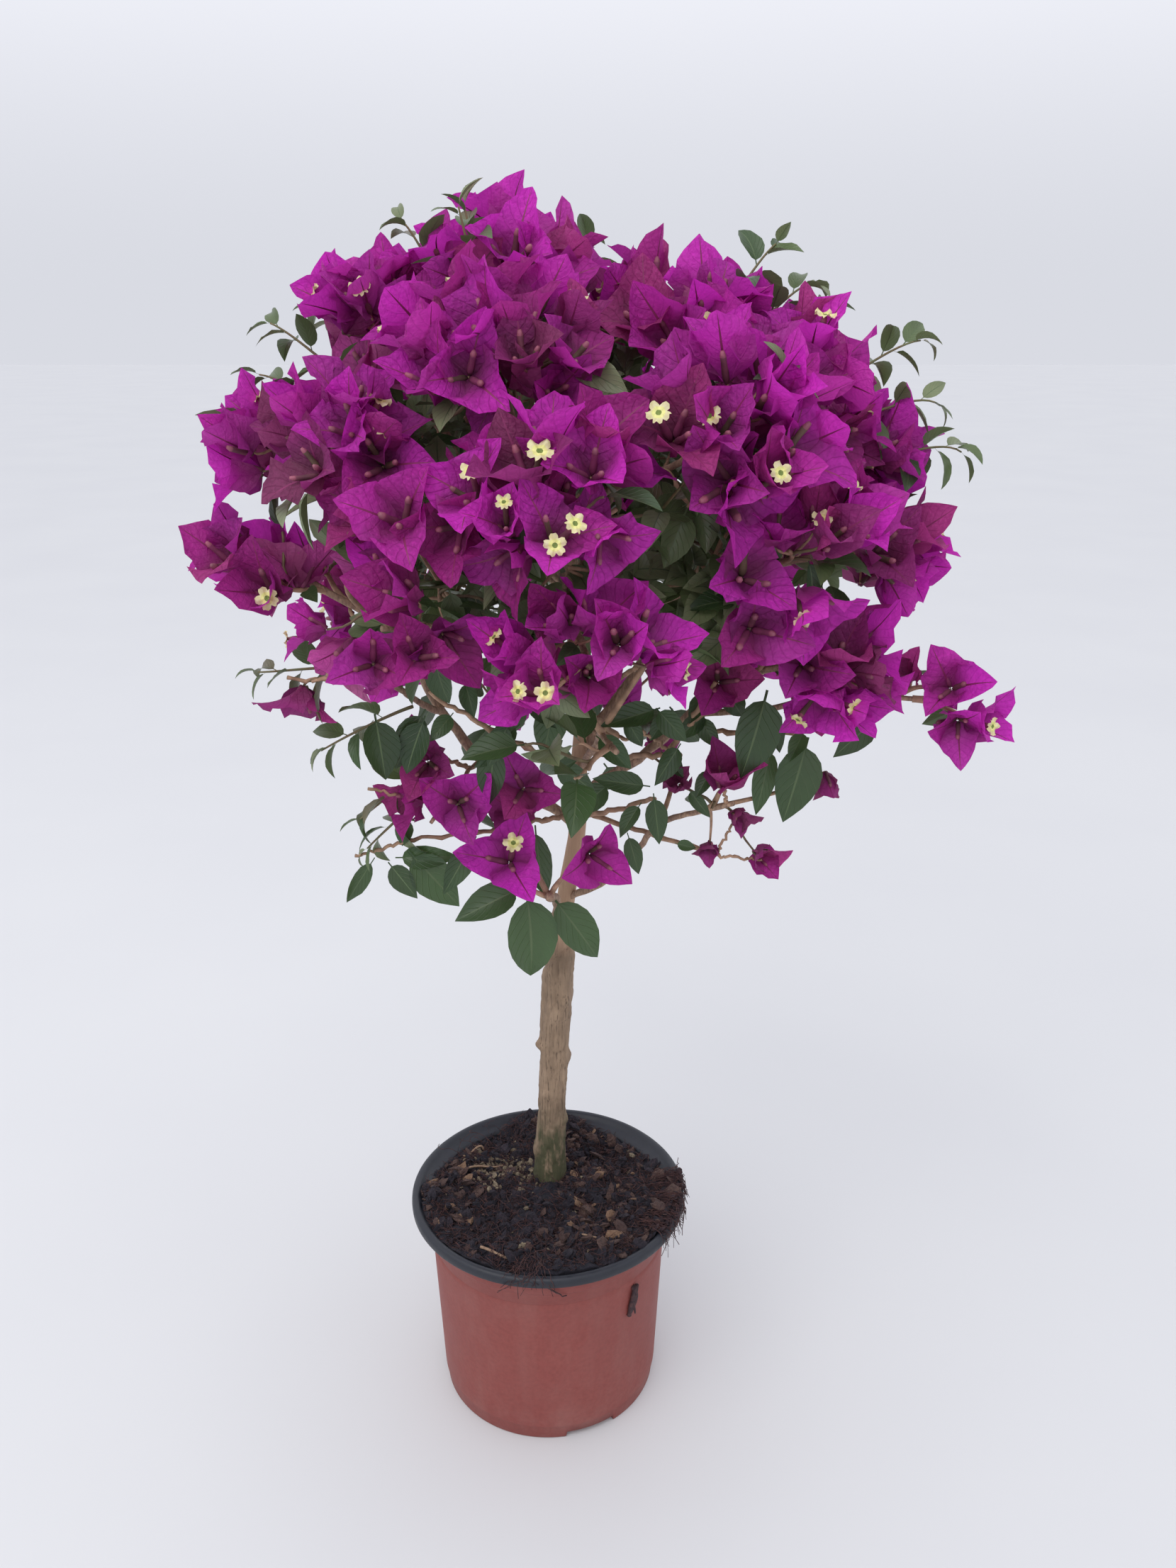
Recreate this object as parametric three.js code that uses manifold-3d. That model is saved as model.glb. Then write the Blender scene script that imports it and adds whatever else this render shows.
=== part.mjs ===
// A bougainvillea trained as a small standard tree, growing in a round nursery pot.
// Millimetres, +Z up. The origin is the middle of the pot's flat underside and the front faces -Y.

import * as THREE from 'three';
import { mergeVertices } from 'three/addons/utils/BufferGeometryUtils.js';
import Module from 'manifold-3d';

const wasm = await Module();
wasm.setup();

// Driving dimensions

const clearance = 0.3;

const pot = {
  height: 136,
  rimDiameter: 170,
  baseDiameter: 133.6,
  shoulderDiameter: 146,
  shoulderHeight: 115,
  collarDiameter: 150,
  wall: 1.8,
  floor: 2.5,
  footHeight: 9,
  footStep: 0.9,
  lipHeight: 6.5,
  lipWidth: 6,
  skirtDepth: 8.5,
  skirtThickness: 1.2,
  sides: 32,
};

const drain = { count: 3, width: 32, height: 4, depth: 12, firstBearing: 24 };

const compost = {
  level: 128,
  frontRise: 2,
  backDip: 0.6,
  lumpHeight: 1.2,
  flatRadius: 34,
  sides: 20,
};

const trunk = {
  stemRadius: 9.2,
  flareRadius: 3.2,
  flareLength: 9,
  knuckleHeight: 273,
  knuckleSwell: 1.6,
  knuckleLength: 15,
  leaderStart: 295,
  leaderBlend: 7,
  leaderRadius: 5.7,
  tipRadius: 2.4,
  tipHeight: 640,
  sides: 9,
  steps: 23,
};

// The stem leans a little to the right as it rises, then swings back under the top of the crown.
// It starts just under the compost, where it is cut off flat.
const trunkLine = [
  [0, 18, compost.level - 6],
  [3, 17, 195],
  [7, 16, 273],
  [12, 15, 328],
  [20, 15, 378],
  [20, 14, 420],
  [24, 11, 460],
  [14, 6, 535],
  [-8, 4, 615],
  [-18, 3, 675],
];

const groundBlock = 100;
const limbSides = 5;
const limbSteps = 6;
const limbTaper = 0.54;

// Masses of flowers and leaves stand round the middle of the crown.
// bearing: degrees round from the front, plus to the right. pitch: degrees above level.
// reach: crown middle to mass middle. across, tall, deep: half sizes, deep pointing outwards.
const crown = { x: 18, y: 5, z: 528 };
const massSpacing = 1.6;
const massDetail = 2;
const massUnevenness = 0.1;

const masses = [
  { name: 'mass_top_left', bearing: -84, pitch: 74, reach: 146, across: 62, tall: 46, deep: 38 },
  { name: 'mass_top_right', bearing: 80, pitch: 64, reach: 134, across: 56, tall: 47, deep: 33 },
  { name: 'mass_front_top', bearing: -22, pitch: 47, reach: 142, across: 55, tall: 46, deep: 38 },
  { name: 'mass_upper_left', bearing: -76, pitch: 47, reach: 148, across: 48, tall: 46, deep: 38 },
  { name: 'mass_upper_right', bearing: 74, pitch: 38, reach: 144, across: 50, tall: 44, deep: 38 },
  { name: 'mass_left', bearing: -80, pitch: 22, reach: 155, across: 44, tall: 29, deep: 40 },
  { name: 'mass_left_low', bearing: -78, pitch: 2, reach: 150, across: 40, tall: 30, deep: 40 },
  { name: 'mass_right', bearing: 86, pitch: 21, reach: 148, across: 46, tall: 38, deep: 36 },
  { name: 'mass_right_low', bearing: 80, pitch: 5, reach: 154, across: 44, tall: 36, deep: 38 },
  { name: 'mass_front_left_high', bearing: -50, pitch: 26, reach: 146, across: 48, tall: 42, deep: 38 },
  { name: 'mass_front_left', bearing: -36, pitch: -3, reach: 146, across: 46, tall: 42, deep: 36 },
  { name: 'mass_front', bearing: -4, pitch: 20, reach: 148, across: 52, tall: 44, deep: 36 },
  { name: 'mass_front_right_high', bearing: 36, pitch: 30, reach: 148, across: 52, tall: 44, deep: 38 },
  { name: 'mass_front_right', bearing: 46, pitch: 8, reach: 150, across: 42, tall: 38, deep: 36 },
  { name: 'mass_front_low', bearing: 2, pitch: -7, reach: 146, across: 48, tall: 38, deep: 34 },
  { name: 'mass_low_right', bearing: 60, pitch: -13, reach: 150, across: 42, tall: 30, deep: 34 },
  { name: 'mass_low_left', bearing: -60, pitch: -17, reach: 146, across: 38, tall: 25, deep: 32 },
  { name: 'mass_leaf_band', bearing: 10, pitch: -32, reach: 130, across: 66, tall: 29, deep: 32 },
  { name: 'mass_bottom_left', bearing: -55, pitch: -54, reach: 157, across: 38, tall: 36, deep: 40 },
  { name: 'mass_bottom', bearing: -18, pitch: -74, reach: 180, across: 35, tall: 30, deep: 50 },
  { name: 'mass_bottom_right', bearing: 56, pitch: -50, reach: 152, across: 34, tall: 31, deep: 35 },
  { name: 'mass_trailing', bearing: 72, pitch: -17, reach: 205, across: 32, tall: 28, deep: 32 },
  { name: 'mass_back_top', bearing: 178, pitch: 48, reach: 140, across: 66, tall: 52, deep: 38 },
  { name: 'mass_back_left_high', bearing: -128, pitch: 24, reach: 146, across: 60, tall: 50, deep: 38 },
  { name: 'mass_back_right_high', bearing: 130, pitch: 24, reach: 146, across: 60, tall: 50, deep: 38 },
  { name: 'mass_back', bearing: 178, pitch: 2, reach: 146, across: 56, tall: 50, deep: 36 },
  { name: 'mass_back_left', bearing: -124, pitch: -18, reach: 138, across: 58, tall: 46, deep: 34 },
  { name: 'mass_back_right', bearing: 126, pitch: -18, reach: 138, across: 58, tall: 46, deep: 34 },
];

// Each limb leaves its parent at a share of the parent's length and ends where it enters its mass.
// base: its radius there. climb: how steeply it sets off, from 0 for level to 2 for nearly upright.
const limbs = [
  { name: 'bough_spur', from: 'trunk', at: 0.32, to: 'mass_bottom', base: 4.2, climb: 1.5 },
  { name: 'branch_bottom_right', from: 'trunk', at: 0.37, to: 'mass_bottom_right', base: 2.6, climb: 0.3 },
  { name: 'bough_left', from: 'trunk', at: 0.46, to: 'mass_left_low', base: 3.6, climb: 0.3 },
  { name: 'branch_bottom_left', from: 'bough_left', at: 0.3, to: 'mass_bottom_left', base: 2.4, climb: 0.2 },
  { name: 'branch_low_left', from: 'bough_left', at: 0.45, to: 'mass_low_left', base: 2.4, climb: 0.4 },
  { name: 'branch_left', from: 'bough_left', at: 0.55, to: 'mass_left', base: 2.6, climb: 1.2 },
  { name: 'bough_low_right', from: 'trunk', at: 0.49, to: 'mass_low_right', base: 3.4, climb: 0.5 },
  { name: 'branch_trailing', from: 'bough_low_right', at: 0.5, to: 'mass_trailing', base: 2.2, climb: 0.1 },
  { name: 'branch_leaf_band', from: 'trunk', at: 0.51, to: 'mass_leaf_band', base: 2.6, climb: 0.4 },
  { name: 'bough_right', from: 'trunk', at: 0.53, to: 'mass_right', base: 4.8, climb: 1.4 },
  { name: 'branch_right_low', from: 'bough_right', at: 0.55, to: 'mass_right_low', base: 2.8, climb: 0.2 },
  { name: 'branch_upper_right', from: 'bough_right', at: 0.45, to: 'mass_upper_right', base: 2.8, climb: 1.6 },
  { name: 'bough_back', from: 'trunk', at: 0.55, to: 'mass_back', base: 4.2, climb: 0.9 },
  { name: 'branch_back_left', from: 'bough_back', at: 0.3, to: 'mass_back_left', base: 2.6, climb: 0.2 },
  { name: 'branch_back_right', from: 'bough_back', at: 0.36, to: 'mass_back_right', base: 2.6, climb: 0.2 },
  { name: 'branch_back_left_high', from: 'bough_back', at: 0.45, to: 'mass_back_left_high', base: 2.6, climb: 1.2 },
  { name: 'branch_back_right_high', from: 'bough_back', at: 0.52, to: 'mass_back_right_high', base: 2.6, climb: 1.2 },
  { name: 'bough_front', from: 'trunk', at: 0.58, to: 'mass_front', base: 4, climb: 0.9 },
  { name: 'branch_front_left', from: 'bough_front', at: 0.28, to: 'mass_front_left', base: 2.6, climb: 0.4 },
  { name: 'branch_front_right', from: 'bough_front', at: 0.34, to: 'mass_front_right', base: 2.6, climb: 0.6 },
  { name: 'branch_front_low', from: 'bough_front', at: 0.5, to: 'mass_front_low', base: 2.6, climb: 0.1 },
  { name: 'bough_front_top', from: 'trunk', at: 0.66, to: 'mass_front_top', base: 3.6, climb: 1.3 },
  { name: 'branch_front_left_high', from: 'bough_front_top', at: 0.3, to: 'mass_front_left_high', base: 2.6, climb: 0.7 },
  { name: 'branch_front_right_high', from: 'bough_front_top', at: 0.4, to: 'mass_front_right_high', base: 2.6, climb: 0.9 },
  { name: 'bough_upper_left', from: 'trunk', at: 0.69, to: 'mass_upper_left', base: 3.4, climb: 1.2 },
  { name: 'bough_top_right', from: 'trunk', at: 0.73, to: 'mass_top_right', base: 3.2, climb: 1.4 },
  { name: 'bough_back_top', from: 'trunk', at: 0.71, to: 'mass_back_top', base: 3.4, climb: 1.3 },
];

// Materials

const finishes = {
  terracotta: new THREE.MeshStandardMaterial({ color: 0x85514f, roughness: 0.8, metalness: 0 }),
  blackPlastic: new THREE.MeshStandardMaterial({ color: 0x35343f, roughness: 0.65, metalness: 0 }),
  soil: new THREE.MeshStandardMaterial({ color: 0x2c2931, roughness: 0.95, metalness: 0 }),
  bark: new THREE.MeshStandardMaterial({ color: 0x826f60, roughness: 0.85, metalness: 0 }),
  flowers: new THREE.MeshStandardMaterial({ color: 0x90397b, roughness: 0.75, metalness: 0 }),
};

// Solids

const degrees = THREE.MathUtils.degToRad;

function solidOf(geometry) {
  geometry.deleteAttribute('normal');
  geometry.deleteAttribute('uv');
  const merged = mergeVertices(geometry, 1e-3);
  const vertProperties = new Float32Array(merged.attributes.position.array);
  const triVerts = new Uint32Array(merged.index.array);
  return new wasm.Manifold(new wasm.Mesh({ numProp: 3, vertProperties, triVerts }));
}

function geometryOf(solid) {
  const mesh = solid.getMesh();
  const geometry = new THREE.BufferGeometry();
  geometry.setAttribute('position', new THREE.BufferAttribute(mesh.vertProperties, 3));
  geometry.setIndex(new THREE.BufferAttribute(mesh.triVerts, 1));
  geometry.computeVertexNormals();
  return geometry;
}

function largestPiece(solid) {
  const pieces = solid.decompose();
  pieces.sort((a, b) => b.volume() - a.volume());
  return pieces[0];
}

// A lathe profile of [radius, height] pairs, turned about Z.
function turned(profile, sides) {
  const points = profile.map(([radius, height]) => new THREE.Vector2(radius, height));
  const geometry = new THREE.LatheGeometry(points, sides);
  geometry.rotateX(Math.PI / 2);
  return geometry;
}

// A round bar bent along a curve, its radius a function of the share of the length.
function bentBar(curve, radiusAt, sides, steps) {
  const geometry = new THREE.CylinderGeometry(1, 1, 1, sides, steps);
  const position = geometry.attributes.position;
  const point = new THREE.Vector3();
  for (let i = 0; i < position.count; i += 1) {
    const share = THREE.MathUtils.clamp(position.getY(i) + 0.5, 0, 1);
    const tangent = curve.getTangentAt(share);
    const side = new THREE.Vector3(0.31, 0.95, 0.05).cross(tangent).normalize();
    const other = tangent.clone().cross(side);
    const radius = radiusAt(share);
    point.copy(curve.getPointAt(share));
    point.addScaledVector(side, position.getX(i) * radius);
    point.addScaledVector(other, -position.getZ(i) * radius);
    position.setXYZ(i, point.x, point.y, point.z);
  }
  return geometry;
}

// Pot

function potWall() {
  const foot = pot.baseDiameter / 2;
  const shoulder = pot.shoulderDiameter / 2;
  const collar = pot.collarDiameter / 2;
  const top = pot.height - pot.lipHeight - clearance;
  const wallAt = (height) => foot + (shoulder - foot) * height / pot.shoulderHeight;
  const profile = [
    [0, 0],
    [foot - 1, 0],
    [foot, 1],
    [wallAt(pot.footHeight), pot.footHeight],
    [wallAt(pot.footHeight) + pot.footStep, pot.footHeight + 1],
    [shoulder, pot.shoulderHeight],
    [collar, pot.shoulderHeight + 2],
    [collar, top],
    [collar - pot.wall, top],
    [collar - pot.wall, pot.shoulderHeight + 2.6],
    [shoulder - pot.wall, pot.shoulderHeight],
    [wallAt(pot.floor) - pot.wall, pot.floor],
    [0, pot.floor],
  ];
  let solid = solidOf(turned(profile, pot.sides));
  for (let i = 0; i < drain.count; i += 1) {
    const notch = new THREE.BoxGeometry(drain.width, drain.depth, drain.height * 2);
    notch.translate(0, -foot, 0);
    notch.rotateZ(degrees(drain.firstBearing + i * 360 / drain.count));
    solid = solid.subtract(solidOf(notch));
  }
  return solid;
}

function potLip() {
  const rim = pot.rimDiameter / 2;
  const skirt = pot.collarDiameter / 2 - pot.wall - clearance;
  const bottom = pot.height - pot.lipHeight;
  const profile = [
    [skirt - pot.skirtThickness, bottom - pot.skirtDepth],
    [skirt, bottom - pot.skirtDepth],
    [skirt, bottom],
    [rim - 0.8, bottom],
    [rim, bottom + 1.2],
    [rim, pot.height - 2],
    [rim - 2.2, pot.height],
    [rim - pot.lipWidth + 1, pot.height - 0.8],
    [skirt + 3.6, bottom + 2.6],
    [skirt - pot.skirtThickness, bottom + 1.2],
    [skirt - pot.skirtThickness, bottom - pot.skirtDepth],
  ];
  return solidOf(turned(profile, pot.sides));
}

function compostHeight(x, y, radius) {
  if (radius < compost.flatRadius + 1) return compost.level;
  const front = radius > 0 ? -y / radius : 0;
  const tilt = front > 0 ? front * compost.frontRise : front * compost.backDip;
  const lumps = Math.sin(x * 0.21 + 1) * Math.sin(y * 0.17 + 2) * compost.lumpHeight;
  return compost.level + tilt + lumps;
}

function compostFill() {
  const foot = pot.baseDiameter / 2 - pot.wall - 2 * clearance;
  const shoulder = pot.shoulderDiameter / 2 - pot.wall - 2 * clearance;
  const edge = pot.collarDiameter / 2 - pot.wall - pot.skirtThickness - 3 * clearance;
  const profile = [
    [0, pot.floor + clearance],
    [foot, pot.floor + clearance],
    [shoulder, pot.shoulderHeight - 1],
    [edge, pot.shoulderHeight + 4],
    [edge, compost.level],
    [edge * 0.82, compost.level],
    [edge * 0.64, compost.level],
    [compost.flatRadius, compost.level],
    [0, compost.level],
  ];
  const geometry = turned(profile, compost.sides);
  const position = geometry.attributes.position;
  for (let i = 0; i < position.count; i += 1) {
    const x = position.getX(i);
    const y = position.getY(i);
    const onTop = position.getZ(i) > compost.level - 0.01;
    if (onTop) position.setZ(i, compostHeight(x, y, Math.hypot(x, y)));
  }
  return solidOf(geometry);
}

// Trunk and limbs

const trunkCurve = new THREE.CatmullRomCurve3(trunkLine.map((point) => new THREE.Vector3(...point)));

function trunkRadius(share) {
  const height = trunkCurve.getPointAt(share).z;
  const flare = trunk.flareRadius * Math.exp(-Math.max(height - compost.level, 0) / trunk.flareLength);
  const fromKnuckle = (height - trunk.knuckleHeight) / trunk.knuckleLength;
  const knuckle = trunk.knuckleSwell * Math.exp(-fromKnuckle * fromKnuckle);
  const leaderShare = 1 / (1 + Math.exp(-(height - trunk.leaderStart) / trunk.leaderBlend * 2));
  const climbed = (height - trunk.leaderStart) / (trunk.tipHeight - trunk.leaderStart);
  const rise = THREE.MathUtils.clamp(climbed, 0, 1);
  const leader = THREE.MathUtils.lerp(trunk.leaderRadius, trunk.tipRadius, rise);
  return THREE.MathUtils.lerp(trunk.stemRadius + knuckle, leader, leaderShare) + flare;
}

function trunkBar(swell) {
  const bar = solidOf(bentBar(trunkCurve, (share) => trunkRadius(share) + swell, trunk.sides, trunk.steps));
  const ground = new THREE.BoxGeometry(groundBlock, groundBlock, groundBlock);
  ground.translate(0, 0, compost.level + clearance - groundBlock / 2);
  return bar.subtract(solidOf(ground));
}

function limbCurve(limb, parentCurve) {
  const start = parentCurve.getPointAt(limb.at);
  const mass = massByName.get(limb.to);
  const end = mass.middle;
  const span = start.distanceTo(end);
  const setOff = end.clone().sub(start).setZ(0).normalize();
  setOff.z = limb.climb;
  setOff.normalize();
  const bend = start.clone().addScaledVector(setOff, span * 0.4);
  const approach = end.clone().addScaledVector(mass.outward, -span * 0.3);
  return new THREE.CubicBezierCurve3(start, bend, approach, end);
}

function limbBar(limb, curve, swell) {
  const radiusAt = (share) => THREE.MathUtils.lerp(limb.base, limb.base * limbTaper, share) + swell;
  return solidOf(bentBar(curve, radiusAt, limbSides, limbSteps));
}

// Masses

const massByName = new Map();

function placeMasses() {
  masses.forEach((mass, index) => {
    const bearing = degrees(mass.bearing);
    const pitch = degrees(mass.pitch);
    const level = Math.cos(pitch);
    mass.index = index;
    mass.outward = new THREE.Vector3(Math.sin(bearing) * level, -Math.cos(bearing) * level, Math.sin(pitch));
    mass.sideways = new THREE.Vector3(Math.cos(bearing), Math.sin(bearing), 0);
    mass.upwards = mass.outward.clone().cross(mass.sideways);
    mass.middle = new THREE.Vector3(crown.x, crown.y, crown.z).addScaledVector(mass.outward, mass.reach);
    mass.spread = (mass.across + mass.tall) / 2;
    massByName.set(mass.name, mass);
  });
}

function unevenness(direction, index) {
  const broad = Math.sin(3.1 * direction.x + 2.3 * index) + Math.sin(3.7 * direction.y + 1.9 * index);
  const narrow = Math.sin(6.1 * direction.z + 2.7 * index) * Math.cos(5.3 * direction.x - 1.3 * index);
  return 1 + massUnevenness * (0.6 * broad + 0.8 * narrow);
}

// How far along an offset from a mass's middle the planes shared with its neighbours let it go.
function roomAlong(offset, mass) {
  let share = 1;
  for (const other of masses) {
    if (other === mass) continue;
    const apart = other.middle.clone().sub(mass.middle);
    const distance = apart.length();
    const limit = distance * mass.spread / (mass.spread + other.spread) - massSpacing / 2;
    const towards = offset.dot(apart) / distance;
    if (towards > limit) share = Math.min(share, limit / towards);
  }
  return share;
}

function massSolid(mass, swell) {
  const geometry = new THREE.IcosahedronGeometry(1, massDetail);
  const position = geometry.attributes.position;
  const direction = new THREE.Vector3();
  const offset = new THREE.Vector3();
  for (let i = 0; i < position.count; i += 1) {
    direction.fromBufferAttribute(position, i);
    const uneven = unevenness(direction, mass.index);
    offset.set(0, 0, 0);
    offset.addScaledVector(mass.sideways, direction.x * mass.across * uneven);
    offset.addScaledVector(mass.upwards, direction.y * mass.tall * uneven);
    offset.addScaledVector(mass.outward, direction.z * mass.deep * uneven);
    offset.multiplyScalar(roomAlong(offset, mass));
    offset.setLength(offset.length() + swell);
    offset.add(mass.middle);
    position.setXYZ(i, offset.x, offset.y, offset.z);
  }
  return solidOf(geometry);
}

// Assembly

const plant = new THREE.Group();

function addPart(name, solid, finish) {
  const mesh = new THREE.Mesh(geometryOf(solid), finish);
  mesh.name = name;
  plant.add(mesh);
}

placeMasses();
addPart('pot', potWall(), finishes.terracotta);
addPart('pot_lip', potLip(), finishes.blackPlastic);
addPart('compost', compostFill(), finishes.soil);

const swollen = new Map();
const curves = new Map([['trunk', trunkCurve]]);
const trunkEnd = massByName.get('mass_top_left');
swollen.set('trunk', trunkBar(clearance));
addPart('trunk', largestPiece(trunkBar(0).subtract(massSolid(trunkEnd, 2 * clearance))), finishes.bark);

for (const limb of limbs) {
  const curve = limbCurve(limb, curves.get(limb.from));
  const ownMass = massSolid(massByName.get(limb.to), 2 * clearance);
  const bar = limbBar(limb, curve, 0).subtract(swollen.get(limb.from)).subtract(ownMass);
  curves.set(limb.name, curve);
  swollen.set(limb.name, limbBar(limb, curve, clearance));
  addPart(limb.name, largestPiece(bar), finishes.bark);
}

for (const mass of masses) {
  let solid = massSolid(mass, 0);
  for (const [name, bar] of swollen) {
    const limb = limbs.find((row) => row.name === name);
    const reachesIt = limb ? limb.to === mass.name : mass === trunkEnd;
    if (!reachesIt) solid = solid.subtract(bar);
  }
  addPart(mass.name, largestPiece(solid), finishes.flowers);
}

export default plant;
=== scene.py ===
import bpy
import mathutils
import numpy as np
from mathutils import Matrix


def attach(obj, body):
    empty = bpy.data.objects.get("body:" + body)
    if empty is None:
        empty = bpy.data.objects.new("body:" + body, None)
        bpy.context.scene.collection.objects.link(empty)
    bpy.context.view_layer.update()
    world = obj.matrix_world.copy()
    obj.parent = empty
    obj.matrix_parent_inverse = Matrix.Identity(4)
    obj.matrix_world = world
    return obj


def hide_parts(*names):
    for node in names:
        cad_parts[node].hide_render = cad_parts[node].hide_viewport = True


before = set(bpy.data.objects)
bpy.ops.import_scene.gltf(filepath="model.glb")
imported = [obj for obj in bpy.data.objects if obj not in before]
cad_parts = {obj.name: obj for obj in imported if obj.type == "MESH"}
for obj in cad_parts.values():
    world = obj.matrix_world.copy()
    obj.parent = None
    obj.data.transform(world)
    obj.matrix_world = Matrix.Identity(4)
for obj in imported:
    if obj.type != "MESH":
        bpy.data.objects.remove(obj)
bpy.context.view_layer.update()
mm = 0.001
norm = np.linalg.norm
# one seed for each kind of piece whose shapes are drawn at random
seeds = {
    "compost": 41, "fibres": 48, "scraps": 9, "boughs": 5, "crown": 2024, "trios": 77,
    "bracts": 301, "tubes": 302, "flowers": 303, "twigs": 401, "leaves": 501,
}
upward = np.array([0, 0, 1.0])


def unit(v):
    return v / np.maximum(norm(v, axis=-1, keepdims=True), 1e-9)


def smoothStep(x, low, high):
    t = np.clip((x - low) / (high - low), 0, 1)
    return t * t * (3 - 2 * t)


def anyTurn(rng, count):
    return rng.uniform(0, 6.28, count)


def allRound(count):
    return np.linspace(0, 2 * np.pi, count, endpoint=False)


def polar(radius, angle, height):
    # places at a distance and a bearing from Z
    return np.stack(np.broadcast_arrays(radius * np.cos(angle), radius * np.sin(angle), height), -1)


def frameRound(axis, roll):
    # two directions square to each axis and to each other, turned round it by roll
    helper = np.where(np.abs(axis[..., 2:3]) > 0.9, [1.0, 0, 0], [0, 0, 1.0])
    side = unit(np.cross(helper, axis))
    other = np.cross(axis, side)
    c, s = np.cos(roll)[..., None], np.sin(roll)[..., None]
    return side * c + other * s, other * c - side * s


def latticeNoise(u, v, seed, wrap=0):
    # smooth noise in -1..1: random heights on whole numbers, eased between them; wrap closes it along u
    table = np.random.default_rng(seed).uniform(-1, 1, (256, 256))
    iu, iv = np.floor(u).astype(int), np.floor(v).astype(int)
    fu, fv = smoothStep(u - iu, 0, 1), smoothStep(v - iv, 0, 1)

    def at(a, b):
        return table[(a % wrap if wrap else a) % 256, b % 256]

    low = at(iu, iv) * (1 - fu) + at(iu + 1, iv) * fu
    high = at(iu, iv + 1) * (1 - fu) + at(iu + 1, iv + 1) * fu
    return low * (1 - fv) + high * fv


def gridFaces(count, rows, cols, closed=False):
    # four-cornered faces of count grids whose points follow one another row by row
    i, j = np.meshgrid(np.arange(rows - 1), np.arange(cols if closed else cols - 1), indexing="ij")
    k = (j + 1) % cols
    quad = np.stack([i * cols + j, i * cols + k, (i + 1) * cols + k, (i + 1) * cols + j], -1).reshape(-1, 4)
    return (quad[None] + (np.arange(count) * rows * cols)[:, None, None]).reshape(-1, 4)


def tubeFaces(points, order=1):
    # the sides of count closed tubes and a many-sided face at each end; order -1 turns them round
    count, rows, cols = points.shape[:3]
    start, ring = (np.arange(count) * rows * cols)[:, None], np.arange(cols)[None]
    ends = np.concatenate([ring[:, ::-1] + start, ring + (rows - 1) * cols + start])
    return [gridFaces(count, rows, cols, closed=True)[:, ::order], ends[:, ::order]]


def makePiece(name, points, faceSets, nodes=(), materials=(), tones=None, uv=None, smooth=True):
    # faceSets: arrays of point numbers, each array of one face size; tones: one material number per face
    mesh = bpy.data.meshes.new(name)
    points = np.ascontiguousarray(points, dtype=np.float32).reshape(-1, 3)
    mesh.vertices.add(len(points))
    mesh.vertices.foreach_set("co", points.ravel())
    corners = np.concatenate([f.ravel() for f in faceSets]).astype(np.int32)
    sizes = np.concatenate([np.full(len(f), f.shape[1]) for f in faceSets])
    mesh.loops.add(len(corners))
    mesh.loops.foreach_set("vertex_index", corners)
    mesh.polygons.add(len(sizes))
    mesh.polygons.foreach_set("loop_start", np.concatenate([[0], np.cumsum(sizes)[:-1]]).astype(np.int32))
    for material in materials:
        mesh.materials.append(material)
    if tones is not None:
        mesh.polygons.foreach_set("material_index", np.asarray(tones, np.int32))
    mesh.polygons.foreach_set("use_smooth", np.full(len(sizes), smooth))
    if uv is not None:
        layer = mesh.uv_layers.new(name="along")
        layer.data.foreach_set("uv", uv.reshape(-1, 2)[corners].astype(np.float32).ravel())
    mesh.update(calc_edges=True)
    piece = bpy.data.objects.new(name, mesh)
    bpy.context.scene.collection.objects.link(piece)
    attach(piece, "root")
    if nodes:
        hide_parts(*nodes)


def tubePoints(paths, radii, sides):
    # a round section of the given radius carried along each path: count x steps x sides x 3
    tangent = unit(np.gradient(paths, axis=1))
    mean = unit(tangent.mean(1, keepdims=True))
    helper = np.where(np.abs(mean[..., 2:3]) > 0.8, [1.0, 0.2, 0], [0.1, 0, 1.0])
    side = unit(np.cross(np.broadcast_to(helper, tangent.shape), tangent))
    other = np.cross(tangent, side)
    angle = allRound(sides)
    ring = side[:, :, None] * np.cos(angle)[:, None] + other[:, :, None] * np.sin(angle)[:, None]
    return paths[:, :, None] + ring * radii[:, :, None, None]


def makeTubes(name, paths, radii, sides, materials, tones=None):
    points = tubePoints(paths, radii, sides)
    makePiece(name, points, tubeFaces(points), (), materials, tones)


def bezier(start, first, second, end, steps):
    # a cubic curve between start and end, drawn towards first and second on the way
    t = np.linspace(0, 1, steps)[None, :, None]
    start, first, second, end = (p[:, None] for p in (start, first, second, end))
    return start * (1 - t) ** 3 + 3 * first * t * (1 - t) ** 2 + 3 * second * t ** 2 * (1 - t) + end * t ** 3


def nodeTriangles(name):
    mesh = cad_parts[name].data
    points = np.zeros(len(mesh.vertices) * 3)
    mesh.vertices.foreach_get("co", points)
    corners = np.zeros(len(mesh.loops), np.int64)
    mesh.loops.foreach_get("vertex_index", corners)
    return points.reshape(-1, 3)[corners].reshape(-1, 3, 3)


def sliceLine(triangles, axis, count, trim):
    # middle and radius of a limb where planes square to axis cut it, between the trimmed ends
    along = triangles @ axis
    low, high = along.min(), along.max()
    levels = np.linspace(low + (high - low) * trim[0], high - (high - low) * trim[1], count)
    after, alongAfter = np.roll(triangles, -1, axis=1), np.roll(along, -1, axis=1)
    middles, radii = [], []
    for level in levels:
        crossed = (along - level) * (alongAfter - level) < 0
        share = ((level - along[crossed]) / (alongAfter[crossed] - along[crossed]))[:, None]
        cut = triangles[crossed] * (1 - share) + after[crossed] * share
        middles.append((cut.min(0) + cut.max(0)) / 2)
        radii.append(norm(cut - middles[-1], axis=1).mean())
    return np.array(middles), np.array(radii)


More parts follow.
